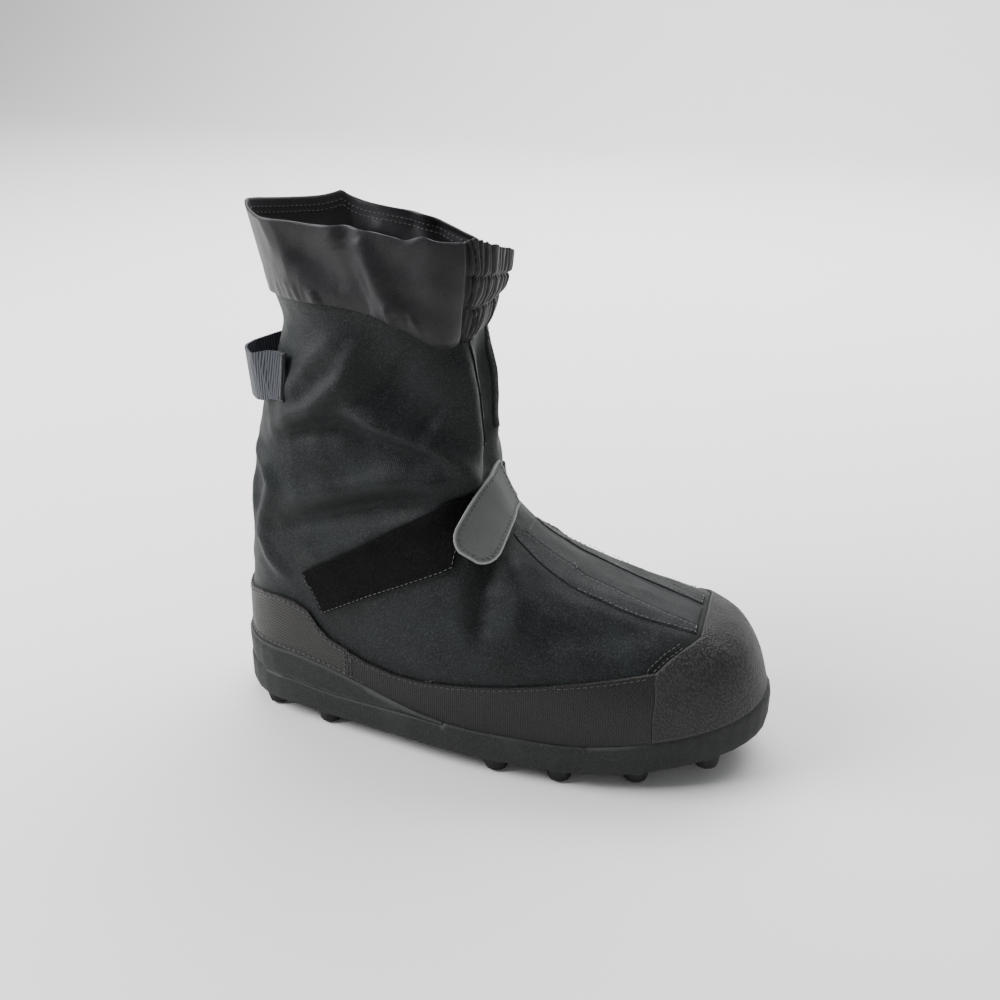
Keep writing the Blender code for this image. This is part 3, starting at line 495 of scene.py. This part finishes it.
def rounded(bm, levels):
    """The same surface after Catmull-Clark subdivision."""
    mesh = bpy.data.meshes.new("draft")
    bm.to_mesh(mesh)
    bm.free()
    draft = bpy.data.objects.new("draft", mesh)
    bpy.context.scene.collection.objects.link(draft)
    modifier = draft.modifiers.new("subdivision", "SUBSURF")
    modifier.levels = modifier.render_levels = levels
    fine = bpy.data.meshes.new_from_object(draft.evaluated_get(bpy.context.evaluated_depsgraph_get()))
    bm = bmesh.new()
    bm.from_mesh(fine)
    bm.normal_update()
    bpy.data.objects.remove(draft)
    bpy.data.meshes.remove(mesh)
    bpy.data.meshes.remove(fine)
    return bm


def split_long_edges(bm, longest, rounds=4):
    for _ in range(rounds):
        edges = [edge for edge in bm.edges if edge.calc_length() > longest]
        if not edges:
            break
        bmesh.ops.subdivide_edges(bm, edges=edges, cuts=1, use_grid_fill=True)
    bm.normal_update()


def coordinates(bm):
    return np.array([vert.co[:] for vert in bm.verts])


def piece(name, bm, finish, nodes=(), sharp=40, wall=0.0, soft=0.0):
    """Makes the mesh an object that stands for these nodes, with a wall's thickness and softened edges."""
    mesh = bpy.data.meshes.new(name)
    bm.to_mesh(mesh)
    bm.free()
    if "custom_normal" in mesh.attributes:
        mesh.attributes.remove(mesh.attributes["custom_normal"])
    mesh.shade_smooth()
    mesh.set_sharp_from_angle(angle=radians(sharp))
    mesh.materials.clear()
    mesh.materials.append(finish)
    obj = bpy.data.objects.new(name, mesh)
    bpy.context.scene.collection.objects.link(obj)
    if wall:
        solid = obj.modifiers.new("wall", "SOLIDIFY")
        solid.thickness = wall
        solid.offset = -1
    if soft:
        bevel = obj.modifiers.new("soft_edges", "BEVEL")
        bevel.width = soft
        bevel.segments = 2
        bevel.limit_method = "ANGLE"
        bevel.angle_limit = radians(40)
    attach(obj, "root")
    if nodes:
        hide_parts(*nodes)


def set_numbers(bm, name, values):
    """Stores a number at every point of the mesh, for its finish."""
    layer = bm.verts.layers.float.new(name)
    for vert, value in zip(bm.verts, values):
        vert[layer] = float(value)


def edge_distances(bm):
    """How far every point lies from the piece's cut edge."""
    marks = [edge for edge in bm.edges if edge.calc_face_angle(0) > radians(50)]
    spots = {vert for edge in marks for vert in edge.verts}
    tree = KDTree(len(spots))
    for number, vert in enumerate(spots):
        tree.insert(vert.co, number)
    tree.balance()
    return [tree.find(vert.co)[2] for vert in bm.verts]


class Skin:
    """A surface that other pieces lie on: the nearest point on it and the smooth outward direction there."""

    def __init__(self, bm):
        self.bm = bm
        bm.normal_update()
        bm.faces.ensure_lookup_table()
        self.tree = BVHTree.FromBMesh(bm)

    def near(self, point):
        spot, _, index, _ = self.tree.find_nearest(point)
        normal = Vector()
        for vert in self.bm.faces[index].verts:
            normal += vert.normal / ((vert.co - spot).length + 0.05 * MM)
        return spot, normal.normalized()


def fold_heights(points, folds):
    """How far folds push the cloth out at these points, in metres."""
    total = np.zeros(len(points))
    for height, width, line in folds:
        line = place(line)
        length = np.concatenate([[0], np.cumsum(np.linalg.norm(np.diff(line, axis=0), axis=1))])
        nearest = np.full(len(points), np.inf)
        along = np.zeros(len(points))
        for start, end, before, after in zip(line, line[1:], length, length[1:]):
            way = end - start
            t = np.clip((points - start) @ way / (way @ way), 0, 1)
            distance = np.linalg.norm(points - start - t[:, None] * way, axis=1)
            closer = distance < nearest
            nearest[closer] = distance[closer]
            along[closer] = ((before + (after - before) * t) / length[-1])[closer]
        taper = np.sqrt(np.clip(6 * (along + 0.04) * (1.04 - along), 0, 1))
        total += height * MM * np.exp(-((nearest / (width * MM)) ** 2)) * taper
    return total


def mirrored(folds):
    """The same folds for the inner side, moved and flattened."""
    along, up = INNER_SHIFT
    return tuple(
        (height * INNER_SHARE, width, tuple((x + along, -y, z + up) for x, y, z in line))
        for height, width, line in folds
    )


def crumple(points, seed, low, high, height):
    """Small irregular ridges: sharpened waves in many directions, with wavelengths from low to high."""
    random = np.random.default_rng(seed)
    total = np.zeros(len(points))
    for _ in range(14):
        way = random.normal(size=3)
        way /= np.linalg.norm(way)
        wave = random.uniform(low, high) * MM
        phase = points @ way / wave * 2 * pi + random.uniform(0, 2 * pi)
        bend = points @ random.normal(size=3) / (3 * wave)
        total += 0.5 - np.abs(np.sin(phase + np.sin(bend)))
    return total / 14 * 3 * height * MM


def shaft_lift(points):
    """How far the shaft's and the vamp's cloth stands off its plain form."""
    free = 0.25 + 0.75 * ease(points[:, 2], 55 * MM, 95 * MM)
    folds = fold_heights(points, SHAFT_FOLDS + mirrored(SHAFT_FOLDS)) * FOLD_SHARE
    lift = folds + crumple(points, 5, 22, 55, 0.8)
    # Under the cuff the cloth lies flat against it
    level = cuff_level(points)
    return lift * free * (1 - ease(level, -0.22, -0.02)) - COVERED_DEPTH * MM * ease(level, -0.02, 0.08)


def cuff_level(points):
    """How far up the cuff a point is, from 0 at its seam to 1 at its rim."""
    x = (points[:, 0] - HEEL[0]) / MM
    z = (points[:, 2] - HEEL[2]) / MM
    share = np.clip((CUFF_ENDS[0] - x) / (CUFF_ENDS[0] - CUFF_ENDS[1]), 0, 1)
    low, high = (front + (back - front) * share + bow * np.sin(pi * share) ** 0.8
                 for front, back, bow in (CUFF_SEAM, CUFF_RIM))
    return (z - low) / (high - low)


def gather_angle(points):
    """The angle round the cuff's front, in degrees from its middle."""
    x = points[:, 0] - HEEL[0] - GATHER_CENTRE * MM
    return np.degrees(np.arctan2(points[:, 1] - HEEL[1], x))


def gather_lift(points):
    """Pleats that rows of elastic draw in, and how far their tops stand up at the rim."""
    random = np.random.default_rng(23)
    level, angle = cuff_level(points), gather_angle(points)
    reach = 1 - ease(np.abs(angle), GATHER_HALF_ANGLE - 3, GATHER_HALF_ANGLE + 1)
    radius = np.hypot(points[:, 0] - HEEL[0] - GATHER_CENTRE * MM, points[:, 1] - HEEL[1])
    around = np.radians(angle) * radius / MM
    row = np.clip(np.floor(level * ROWS), 0, ROWS - 1)
    inside = level * ROWS - row
    pleat = np.zeros(len(points))
    for number in range(ROWS):
        here = row == number
        edges = np.cumsum(random.uniform(*GATHER_PITCH, size=PLEATS_IN_ROW)) + PLEATS_START
        tall = random.uniform(0.45, 1.15, size=PLEATS_IN_ROW)
        slant = random.uniform(-1.6, 1.6) * (inside[here] - 0.5)
        slant = slant + 0.5 * np.sin(around[here] * 0.35 + number)
        at = around[here] + slant + 0.5 * np.sin(inside[here] * 5 + around[here] * 0.5)
        index = np.clip(np.searchsorted(edges, at), 1, PLEATS_IN_ROW - 1)
        share = (at - edges[index - 1]) / (edges[index] - edges[index - 1])
        pleat[here] = tall[index] * np.sqrt(np.clip(np.sin(pi * np.clip(share, 0, 1)), 0, 1))
    pinch = np.exp(-((np.minimum(inside, 1 - inside) * ROW_HEIGHT / ELASTIC_WIDTH) ** 2))
    pinch = pinch * ((level > 0.15) & (level < 0.85))
    lift = GATHER_DEPTH * (pleat - 0.75) * (1 - 0.45 * pinch) - ELASTIC_DEPTH * pinch
    crease = -CREASE_DEPTH * np.exp(-((np.abs(np.abs(angle) - GATHER_HALF_ANGLE) / CREASE_WIDTH) ** 2))
    rise = (1.6 * (pleat - 0.6) + GATHER_RISE) * reach * ease(level, 0.75, 1.0)
    return (lift * reach + crease) * MM, rise * MM


def cuff_lift(points):
    """How far the cuff's cloth stands off its plain form, without its gathers."""
    random = np.random.default_rng(11)
    puckers = []
    start, end, step = PUCKERS
    for x in np.arange(start, end, step):
        share = (CUFF_ENDS[0] - x) / (CUFF_ENDS[0] - CUFF_ENDS[1])
        z = CUFF_SEAM[0] + (CUFF_SEAM[1] - CUFF_SEAM[0]) * share + CUFF_SEAM[2] * sin(pi * share) ** 0.8
        along, reach = random.uniform(-1.5, 1.5), random.uniform(3, 9)
        height = random.choice((-1.2, 0.9)) * random.uniform(0.5, 1.1) * (1 + 0.5 * (x > 105))
        for y in (-CUFF_HALF_WIDTH, CUFF_HALF_WIDTH):
            line = ((x + along, y, z), (x + along - 2.5, y, z + reach))
            puckers.append((height, PUCKER_WIDTH, line))
    folds = fold_heights(points, CUFF_FOLDS + mirrored(CUFF_FOLDS)) * FOLD_SHARE
    # Only the distance along the side matters to the puckers, so they act on points moved to their plane
    flat = points.copy()
    flat[:, 1] = HEEL[1] + np.sign(points[:, 1] - HEEL[1]) * CUFF_HALF_WIDTH * MM
    return folds + fold_heights(flat, puckers) + crumple(points, 8, 16, 40, 0.35)


def painted_toe_shade(bm):
    """1 for each point at the toe cap's edge, where the cloth gets painted shade beside the raised cap, and 0
    further off.
    """
    cap = BVHTree.FromBMesh(copy_of("toe_cap"))
    return [1 - float(ease(cap.find_nearest(vert.co)[3], 4 * MM, 9 * MM)) for vert in bm.verts]


def make_shaft():
    """The upper with its folds. Gives the plain and the smooth skin that the bands are placed by."""
    plain = Skin(outer_wall("upper"))
    bm = rounded(plain.bm.copy(), 2)
    smooth = Skin(bm.copy())
    rings = [edge for edge in bm.edges if abs((edge.verts[0].co - edge.verts[1].co).normalized().z) > 0.5]
    bmesh.ops.subdivide_edges(bm, edges=rings, cuts=1)
    bm.normal_update()
    points = coordinates(bm)
    for vert, lift in zip(bm.verts, shaft_lift(points)):
        vert.co += vert.normal * float(lift)
    set_numbers(bm, "painted_shade", painted_toe_shade(bm))
    piece("shaft", bm, shaft_nylon(), ["upper"], sharp=70, wall=SHAFT_WALL * MM)
    return plain, smooth


def hem_run(bm, drop):
    """The line inside the cuff's wall where its hem is sewn, that far below the rim in millimetres."""
    marks = []
    for edge in bm.edges:
        if edge.is_boundary and min(cuff_level(np.array([vert.co[:] for vert in edge.verts]))) > 0.6:
            marks.append((edge, edge.link_faces[0], edge.link_faces[0].normal))
    skin = Skin(bm.copy())
    run = []
    for point, _, _ in chained(marks):
        if point.x < HEEL[0] + HEM_END * MM:
            spot, way = skin.near(point - Vector((0, 0, drop * MM)))
            run.append((spot - way * HEM_DEPTH * MM, -way))
    return run


def close_seam(bm, skin):
    """Turns the cuff's lower edge in to the shaft's cloth, which it is sewn to."""
    low = [edge for edge in bm.edges if edge.is_boundary
           and max(cuff_level(np.array([vert.co[:] for vert in edge.verts]))) < 0.4]
    made = bmesh.ops.extrude_edge_only(bm, edges=low)["geom"]
    for vert in (item for item in made if isinstance(item, bmesh.types.BMVert)):
        spot, way = skin.near(vert.co)
        vert.co = spot - way * TURN_IN * MM
    bm.normal_update()


def fine_cuff():
    """The cuff's outer wall, fine enough for pleats and puckers, with crisp rear corners."""
    bm = outer_wall("cuff", 0.5)
    crease = bm.edges.layers.float.new("crease_edge")
    for edge in bm.edges:
        way = (edge.verts[0].co - edge.verts[1].co).normalized()
        upright = abs(way.z) > 0.7 and edge.calc_face_angle(0) > radians(7)
        if upright and edge.verts[0].co.x < HEEL[0] + REAR_CORNERS * MM:
            edge[crease] = 0.85
    bm = rounded(bm, 2)
    fine = GATHER_HALF_ANGLE + GATHER_MARGIN
    angles = dict(zip(bm.verts, gather_angle(coordinates(bm))))
    front = [edge for edge in bm.edges if all(abs(angles[vert]) < fine for vert in edge.verts)]
    bmesh.ops.subdivide_edges(bm, edges=front, cuts=3, use_grid_fill=True)
    points = coordinates(bm)
    angles = dict(zip(bm.verts, gather_angle(points)))
    levels = dict(zip(bm.verts, cuff_level(points)))
    low = [edge for edge in bm.edges if all(levels[vert] < 0.45 for vert in edge.verts)
           and not all(abs(angles[vert]) < fine for vert in edge.verts)]
    bmesh.ops.subdivide_edges(bm, edges=low, cuts=1, use_grid_fill=True)
    bm.normal_update()
    return bm


def raise_rim(points, level, rise):
    """Adds to rise how far the rim's corners and slopes lift the cuff's cloth."""
    for x, y, height in RIM_CORNERS:
        corner = np.hypot(points[:, 0] - HEEL[0] - x * MM, points[:, 1] - HEEL[1] - y * MM)
        rise += height * MM * np.exp(-corner / (8 * MM)) * ease(level, 0.5, 1.0)
    x, y = ((points[:, axis] - HEEL[axis]) / MM for axis in (0, 1))
    for side, start, end, height in RIM_SLOPES:
        here = np.clip(side * y / 30, 0, 1)
        rise += height * MM * here * ease(x, start, end) * ease(level, 0.2, 1.0)


def seam_corner(points, level):
    """1 for each point at the corner where the cuff's lower edge hangs down, and 0 further off."""
    along, across, _, width = SEAM_CORNER
    x, y = ((points[:, axis] - HEEL[axis]) / MM for axis in (0, 1))
    return np.exp(-((x - along) ** 2 + (y - across) ** 2) / width ** 2) * (1 - ease(level, 0.0, 0.6))


def make_cuff(smooth):
    """The cuff, pleated and folded, with the hem's stitches inside it."""
    bm = fine_cuff()
    points = coordinates(bm)
    level = cuff_level(points)
    gathers, rise = gather_lift(points)
    lift = cuff_lift(points) * (1 - 0.7 * (np.abs(gather_angle(points)) < GATHER_HALF_ANGLE))
    # Hollows fade out towards the seam, so that the shaft stays covered
    free = ease(level, 0.05, 0.55)
    lift = lift * free + np.maximum(lift, -0.4 * MM) * (1 - free) + gathers
    raise_rim(points, level, rise)
    corner = seam_corner(points, level)
    rise += SEAM_CORNER[2] * MM * corner
    lift += 1.0 * MM * corner
    for vert, push, up in zip(bm.verts, lift, rise):
        vert.co += vert.normal * float(push) + Vector((0, 0, float(up)))
    bm.normal_update()
    hems = [hem_run(bm, drop) for drop in HEM_DROPS]
    close_seam(bm, smooth)
    piece("cuff_cloth", bm, cuff_nylon(), ["cuff"], sharp=80, wall=CUFF_WALL * MM)
    grey = thread("grey_thread", (0.020, 0.019, 0.021), (0.060, 0.058, 0.062))
    sew("hem_stitches", hems, grey, 2.6, 1.8, 0.5)


def lay_on(name, node, finish, skins, longest=3.0, soft=0.35, thin=1.0):
    """A band that lies on the upper's cloth and its folds. Thin is the share of its height that stays."""
    plain, smooth = skins
    bm = copy_of(node)
    split_long_edges(bm, longest * MM)
    set_numbers(bm, "edge", edge_distances(bm))
    if finish.name == "shaft_nylon":
        set_numbers(bm, "painted_shade", painted_toe_shade(bm))
    spots, ways, heights = [], [], []
    for vert in bm.verts:
        base, outward = plain.near(vert.co)
        spot, way = smooth.near(base)
        spots.append(spot[:])
        ways.append(way)
        heights.append((vert.co - base).dot(outward))
    for vert, spot, way, height, lift in zip(bm.verts, spots, ways, heights, shaft_lift(np.array(spots))):
        vert.co = Vector(spot) + way * (height * thin + float(lift) + 0.08 * MM * (thin < 1))
    seams = outline(bm, smooth)
    piece(name, bm, finish, [node], sharp=50, soft=soft * MM)
    return seams


def chained(marks):
    """Puts marked edges in order: at each point, its place and the ways into the face beside it and out."""
    rim = {}
    for edge, top, out in marks:
        inward = (top.calc_center_median() - (edge.verts[0].co + edge.verts[1].co) / 2).normalized()
        for vert in edge.verts:
            rim.setdefault(vert, []).append((edge.other_vert(vert), inward, out))
    loops, left = [], dict.fromkeys(rim)
    while left:
        chain = [next(iter(left))]
        del left[chain[0]]
        for _ in range(2):
            while ahead := [other for other, _, _ in rim[chain[-1]] if other in left]:
                del left[ahead[0]]
                chain.append(ahead[0])
            chain.reverse()
        loops.append(chain)
    chain = max(loops, key=len)
    if any(other is chain[0] for other, _, _ in rim[chain[-1]]):
        chain.append(chain[0])
    rows = []
    for number, vert in enumerate(chain):
        along = chain[min(number + 1, len(chain) - 1)].co - chain[max(number - 1, 0)].co
        inward = sum((entry[1] for entry in rim[vert]), Vector())
        inward -= along * inward.dot(along) / max(along.length_squared, 1e-12)
        out = sum((entry[2] for entry in rim[vert]), Vector()).normalized()
        rows.append((vert.co.copy(), inward.normalized(), out))
    return rows


def outline(bm, skin):
    """The edge of the face that a band turns outwards."""
    bm.normal_update()
    marks = []
    for edge in bm.edges:
        if edge.calc_face_angle(0) > radians(50):
            out = skin.near((edge.verts[0].co + edge.verts[1].co) / 2)[1]
            top = max(edge.link_faces, key=lambda face: face.normal.dot(out))
            if top.normal.dot(out) > 0.5:
                marks.append((edge, top, out))
    return chained(marks)


def inset(rows, distance, keep=None):
    """Runs of points that distance inside a band's edge, where keep holds in millimetres from the heel."""
    runs, run = [], []
    for point, inward, out in rows:
        spot = point + inward * distance * MM
        if keep is None or keep(*((np.array(spot) - HEEL) / MM)):
            run.append((spot, out))
        elif run:
            runs.append(run)
            run = []
    return runs + ([run] if run else [])


def sew(name, runs, finish, pitch=3.4, length=2.3, width=0.55, lift=0.12):
    """A line of stitches along each run of points: small flattened threads, with gaps between them."""
    quarter_turn = Matrix.Rotation(pi / 2, 4, "Y")
    bm = bmesh.new()
    for run in runs:
        spots = np.array([spot[:] for spot, _ in run])
        outs = np.array([out[:] for _, out in run])
        if len(spots) < 2:
            continue
        travel = np.concatenate([[0], np.cumsum(np.linalg.norm(np.diff(spots, axis=0), axis=1))])
        for at in np.arange(pitch / 2 * MM, travel[-1], pitch * MM):
            middle = Vector([np.interp(at, travel, spots[:, axis]) for axis in range(3)])
            ahead = Vector([np.interp(at + 1 * MM, travel, spots[:, axis]) for axis in range(3)])
            out = Vector([np.interp(at, travel, outs[:, axis]) for axis in range(3)]).normalized()
            along = ahead - middle
            along -= out * along.dot(out)
            if along.length < 0.1 * MM:
                continue
            along.normalize()
            side = out.cross(along)
            axes = (along * length / 2 * MM, side * width / 2 * MM, out * width / 2 * MM)
            spot = Matrix.Translation(middle + out * lift * MM)
            turn = Matrix(axes).transposed().to_4x4()
            bmesh.ops.create_uvsphere(
                bm, u_segments=6, v_segments=4, radius=1, matrix=spot @ turn @ quarter_turn,
            )
    piece(name, bm, finish, sharp=80)


def make_bands(skins):
    """The coated pieces, the placket, the facings, the pile patch and the strap, with their stitches."""
    nylon = bpy.data.materials["shaft_nylon"]
    grey = bpy.data.materials["grey_thread"]
    ballistic = ballistic_cloth()
    black = thread("black_thread", (0.004, 0.004, 0.005), (0.020, 0.020, 0.022))
    pale = thread("pale_thread", (0.035, 0.036, 0.038), (0.10, 0.10, 0.105))
    counter = lay_on("heel_counter_cloth", "heel_counter", counter_cloth(), skins)
    top = inset(counter, 2.0, lambda x, y, z: z > 34)
    sew("counter_stitches", top, black, width=0.8, lift=0.2)
    for side in ("outer", "inner"):
        rand = lay_on(f"rand_{side}_cloth", f"rand_{side}", ballistic, skins)
        top = inset(rand, 1.6, lambda x, y, z: z > 38 and 80 < x < 248)
        seam = [run for gap in (1.8, 5.0) for run in inset(rand, gap, lambda x, y, z: x < 86)]
        sew(f"rand_{side}_stitches", top + seam, black)
        placket = lay_on(f"placket_{side}_cloth", f"placket_{side}", nylon, skins, 2.5, thin=0.20)
        sew(f"placket_{side}_stitches", inset(placket, 1.5), pale, 3.0, 2.0, 0.42, 0.04)
        facing = lay_on(f"facing_{side}_cloth", f"facing_{side}", nylon, skins, 2.5, thin=0.5)
        sew(f"facing_{side}_stitches", inset(facing, 1.2), black, 3.0, 2.0, 0.5)
    top = lay_on("placket_top_cloth", "placket_top", nylon, skins, 2.5, thin=0.20)
    sew("placket_top_stitches", inset(top, 1.5), pale, 3.0, 2.0, 0.42)
    toe = lay_on("toe_cap_rubber", "toe_cap", toe_rubber(), skins)
    rows = [run for gap in (-1.6, -4.4) for run in inset(toe, gap, lambda x, y, z: z > 48 and x < 285)]
    sew("toe_seam_stitches", rows, black, 3.0, 2.1, 0.6, lift=-1.0)
    patch = lay_on("pile_patch", "loop_patch", pile_tape(), skins, 2.5)
    sew("patch_stitches", inset(patch, 0.8), grey, 3.0, 2.2, 0.45)
    lay_on("instep_strap", "strap", black_tape(), skins, 2.5)


def make_tab(skins):
    """The strap's tab, smooth on its face, with its stitches."""
    bm = copy_of("strap_tab")
    split_long_edges(bm, 1.6 * MM)
    distances = edge_distances(bm)
    inner = [vert for vert, gap in zip(bm.verts, distances) if gap > 0.8 * MM]
    for _ in range(60):
        bmesh.ops.smooth_vert(
            bm, verts=inner, factor=0.5, use_axis_x=True, use_axis_y=True, use_axis_z=True,
        )
    set_numbers(bm, "edge", edge_distances(bm))
    runs = inset(outline(bm, skins[1]), TAB_SEAM)
    piece("strap_tab_rubber", bm, tab_rubber(), ["strap_tab"], sharp=50, soft=0.3 * MM)
    black = bpy.data.materials["black_thread"]
    sew("tab_stitches", runs, black, 2.9, 2.0, 0.6)


def make_loop(skins):
    """The pull loop, with the distance along it for its ribs."""
    line = place(LOOP_LINE)
    for _ in range(4):
        first = 0.75 * line[:-1] + 0.25 * line[1:]
        second = 0.25 * line[:-1] + 0.75 * line[1:]
        quarters = np.stack([first, second], axis=1)
        line = np.concatenate([line[:1], quarters.reshape(-1, 3), line[-1:]])
    length = np.concatenate([[0], np.cumsum(np.linalg.norm(np.diff(line, axis=0), axis=1))])
    bm = copy_of("pull_loop")
    split_long_edges(bm, 1.6 * MM)
    points = coordinates(bm)[:, :2]
    nearest = np.full(len(points), np.inf)
    along = np.zeros(len(points))
    for start, end, before, after in zip(line, line[1:], length, length[1:]):
        way = (end - start)[:2]
        t = np.clip((points - start[:2]) @ way / (way @ way), 0, 1)
        gap = np.linalg.norm(points - start[:2] - t[:, None] * way, axis=1)
        closer = gap < nearest
        nearest[closer] = gap[closer]
        along[closer] = (before + (after - before) * t)[closer]
    set_numbers(bm, "along", along)
    ends = inset(outline(bm, skins[1]), 1.4, lambda x, y, z: x > 44)
    piece("loop_webbing_band", bm, loop_webbing(), ["pull_loop"], sharp=50, soft=0.3 * MM)
    sew("loop_bar_stitches", ends, bpy.data.materials["black_thread"], 1.0, 1.1, 2.2)


def make_sole():
    """The sole, the heel wedge and the insole."""
    rubber = sole_rubber()
    for name, node in (("sole_unit", "outsole"), ("heel_wedge_unit", "heel_wedge")):
        bm = copy_of(node)
        split_long_edges(bm, 4.0 * MM)
        set_numbers(bm, "edge", edge_distances(bm))
        piece(name, bm, rubber, [node], sharp=32, soft=0.5 * MM)
    bm = copy_of("insole")
    split_long_edges(bm, 6.0 * MM)
    piece("insole_felt", bm, felt(), ["insole"], sharp=40, soft=0.5 * MM)


def make_stage():
    """A pale floor that curves up behind the shoe, and soft lights."""
    bm = bmesh.new()
    bmesh.ops.create_grid(bm, x_segments=1, y_segments=1, size=FLOOR_REACH)
    far = [edge for edge in bm.edges if all(vert.co.y > 0.9 * FLOOR_REACH for vert in edge.verts)]
    made = bmesh.ops.extrude_edge_only(bm, edges=far)["geom"]
    wall = [item for item in made if isinstance(item, bmesh.types.BMVert)]
    bmesh.ops.translate(bm, verts=wall, vec=(0, 0, FLOOR_REACH))
    bmesh.ops.bevel(bm, geom=far, offset=1.5, segments=16, profile=0.5, affect="EDGES", material=-1)
    mesh = bpy.data.meshes.new("floor")
    bm.to_mesh(mesh)
    bm.free()
    mesh.shade_smooth()
    mesh.materials.append(floor_paper())
    floor = bpy.data.objects.new("floor", mesh)
    bpy.context.scene.collection.objects.link(floor)

    world = bpy.data.worlds.new("studio")
    world.use_nodes = True
    world.node_tree.nodes["Background"].inputs["Color"].default_value = (0.95, 0.97, 1.0, 1)
    world.node_tree.nodes["Background"].inputs["Strength"].default_value = 0.32
    bpy.context.scene.world = world
    for name, power, width, at, aim in LIGHTS:
        lamp = bpy.data.lights.new(name, "AREA")
        lamp.energy = power
        lamp.size = width
        light = bpy.data.objects.new(name, lamp)
        light.location = at
        light.rotation_euler = (Vector(at) - Vector(aim)).to_track_quat("Z", "Y").to_euler()
        bpy.context.scene.collection.objects.link(light)


def make_camera():
    lens = bpy.data.cameras.new("camera")
    lens.lens = CAMERA_LENS
    lens.sensor_width = SENSOR_WIDTH
    lens.clip_start = 0.01
    camera = bpy.data.objects.new("camera", lens)
    azimuth, elevation, roll = (radians(angle) for angle in (CAMERA_AZIMUTH, CAMERA_ELEVATION, CAMERA_ROLL))
    back = Vector((sin(azimuth) * cos(elevation), -cos(azimuth) * cos(elevation), sin(elevation)))
    level = Vector((cos(azimuth), sin(azimuth), 0))
    above = back.cross(level)
    right = level * cos(roll) + above * sin(roll)
    up = above * cos(roll) - level * sin(roll)
    turn = Matrix((right, up, back)).transposed().to_4x4()
    camera.matrix_world = Matrix.Translation(Vector(place(CAMERA_PLACE))) @ turn
    bpy.context.scene.collection.objects.link(camera)
    bpy.context.scene.camera = camera


make_camera()
make_stage()
skins = make_shaft()
make_cuff(skins[1])
make_bands(skins)
make_tab(skins)
make_loop(skins)
make_sole()
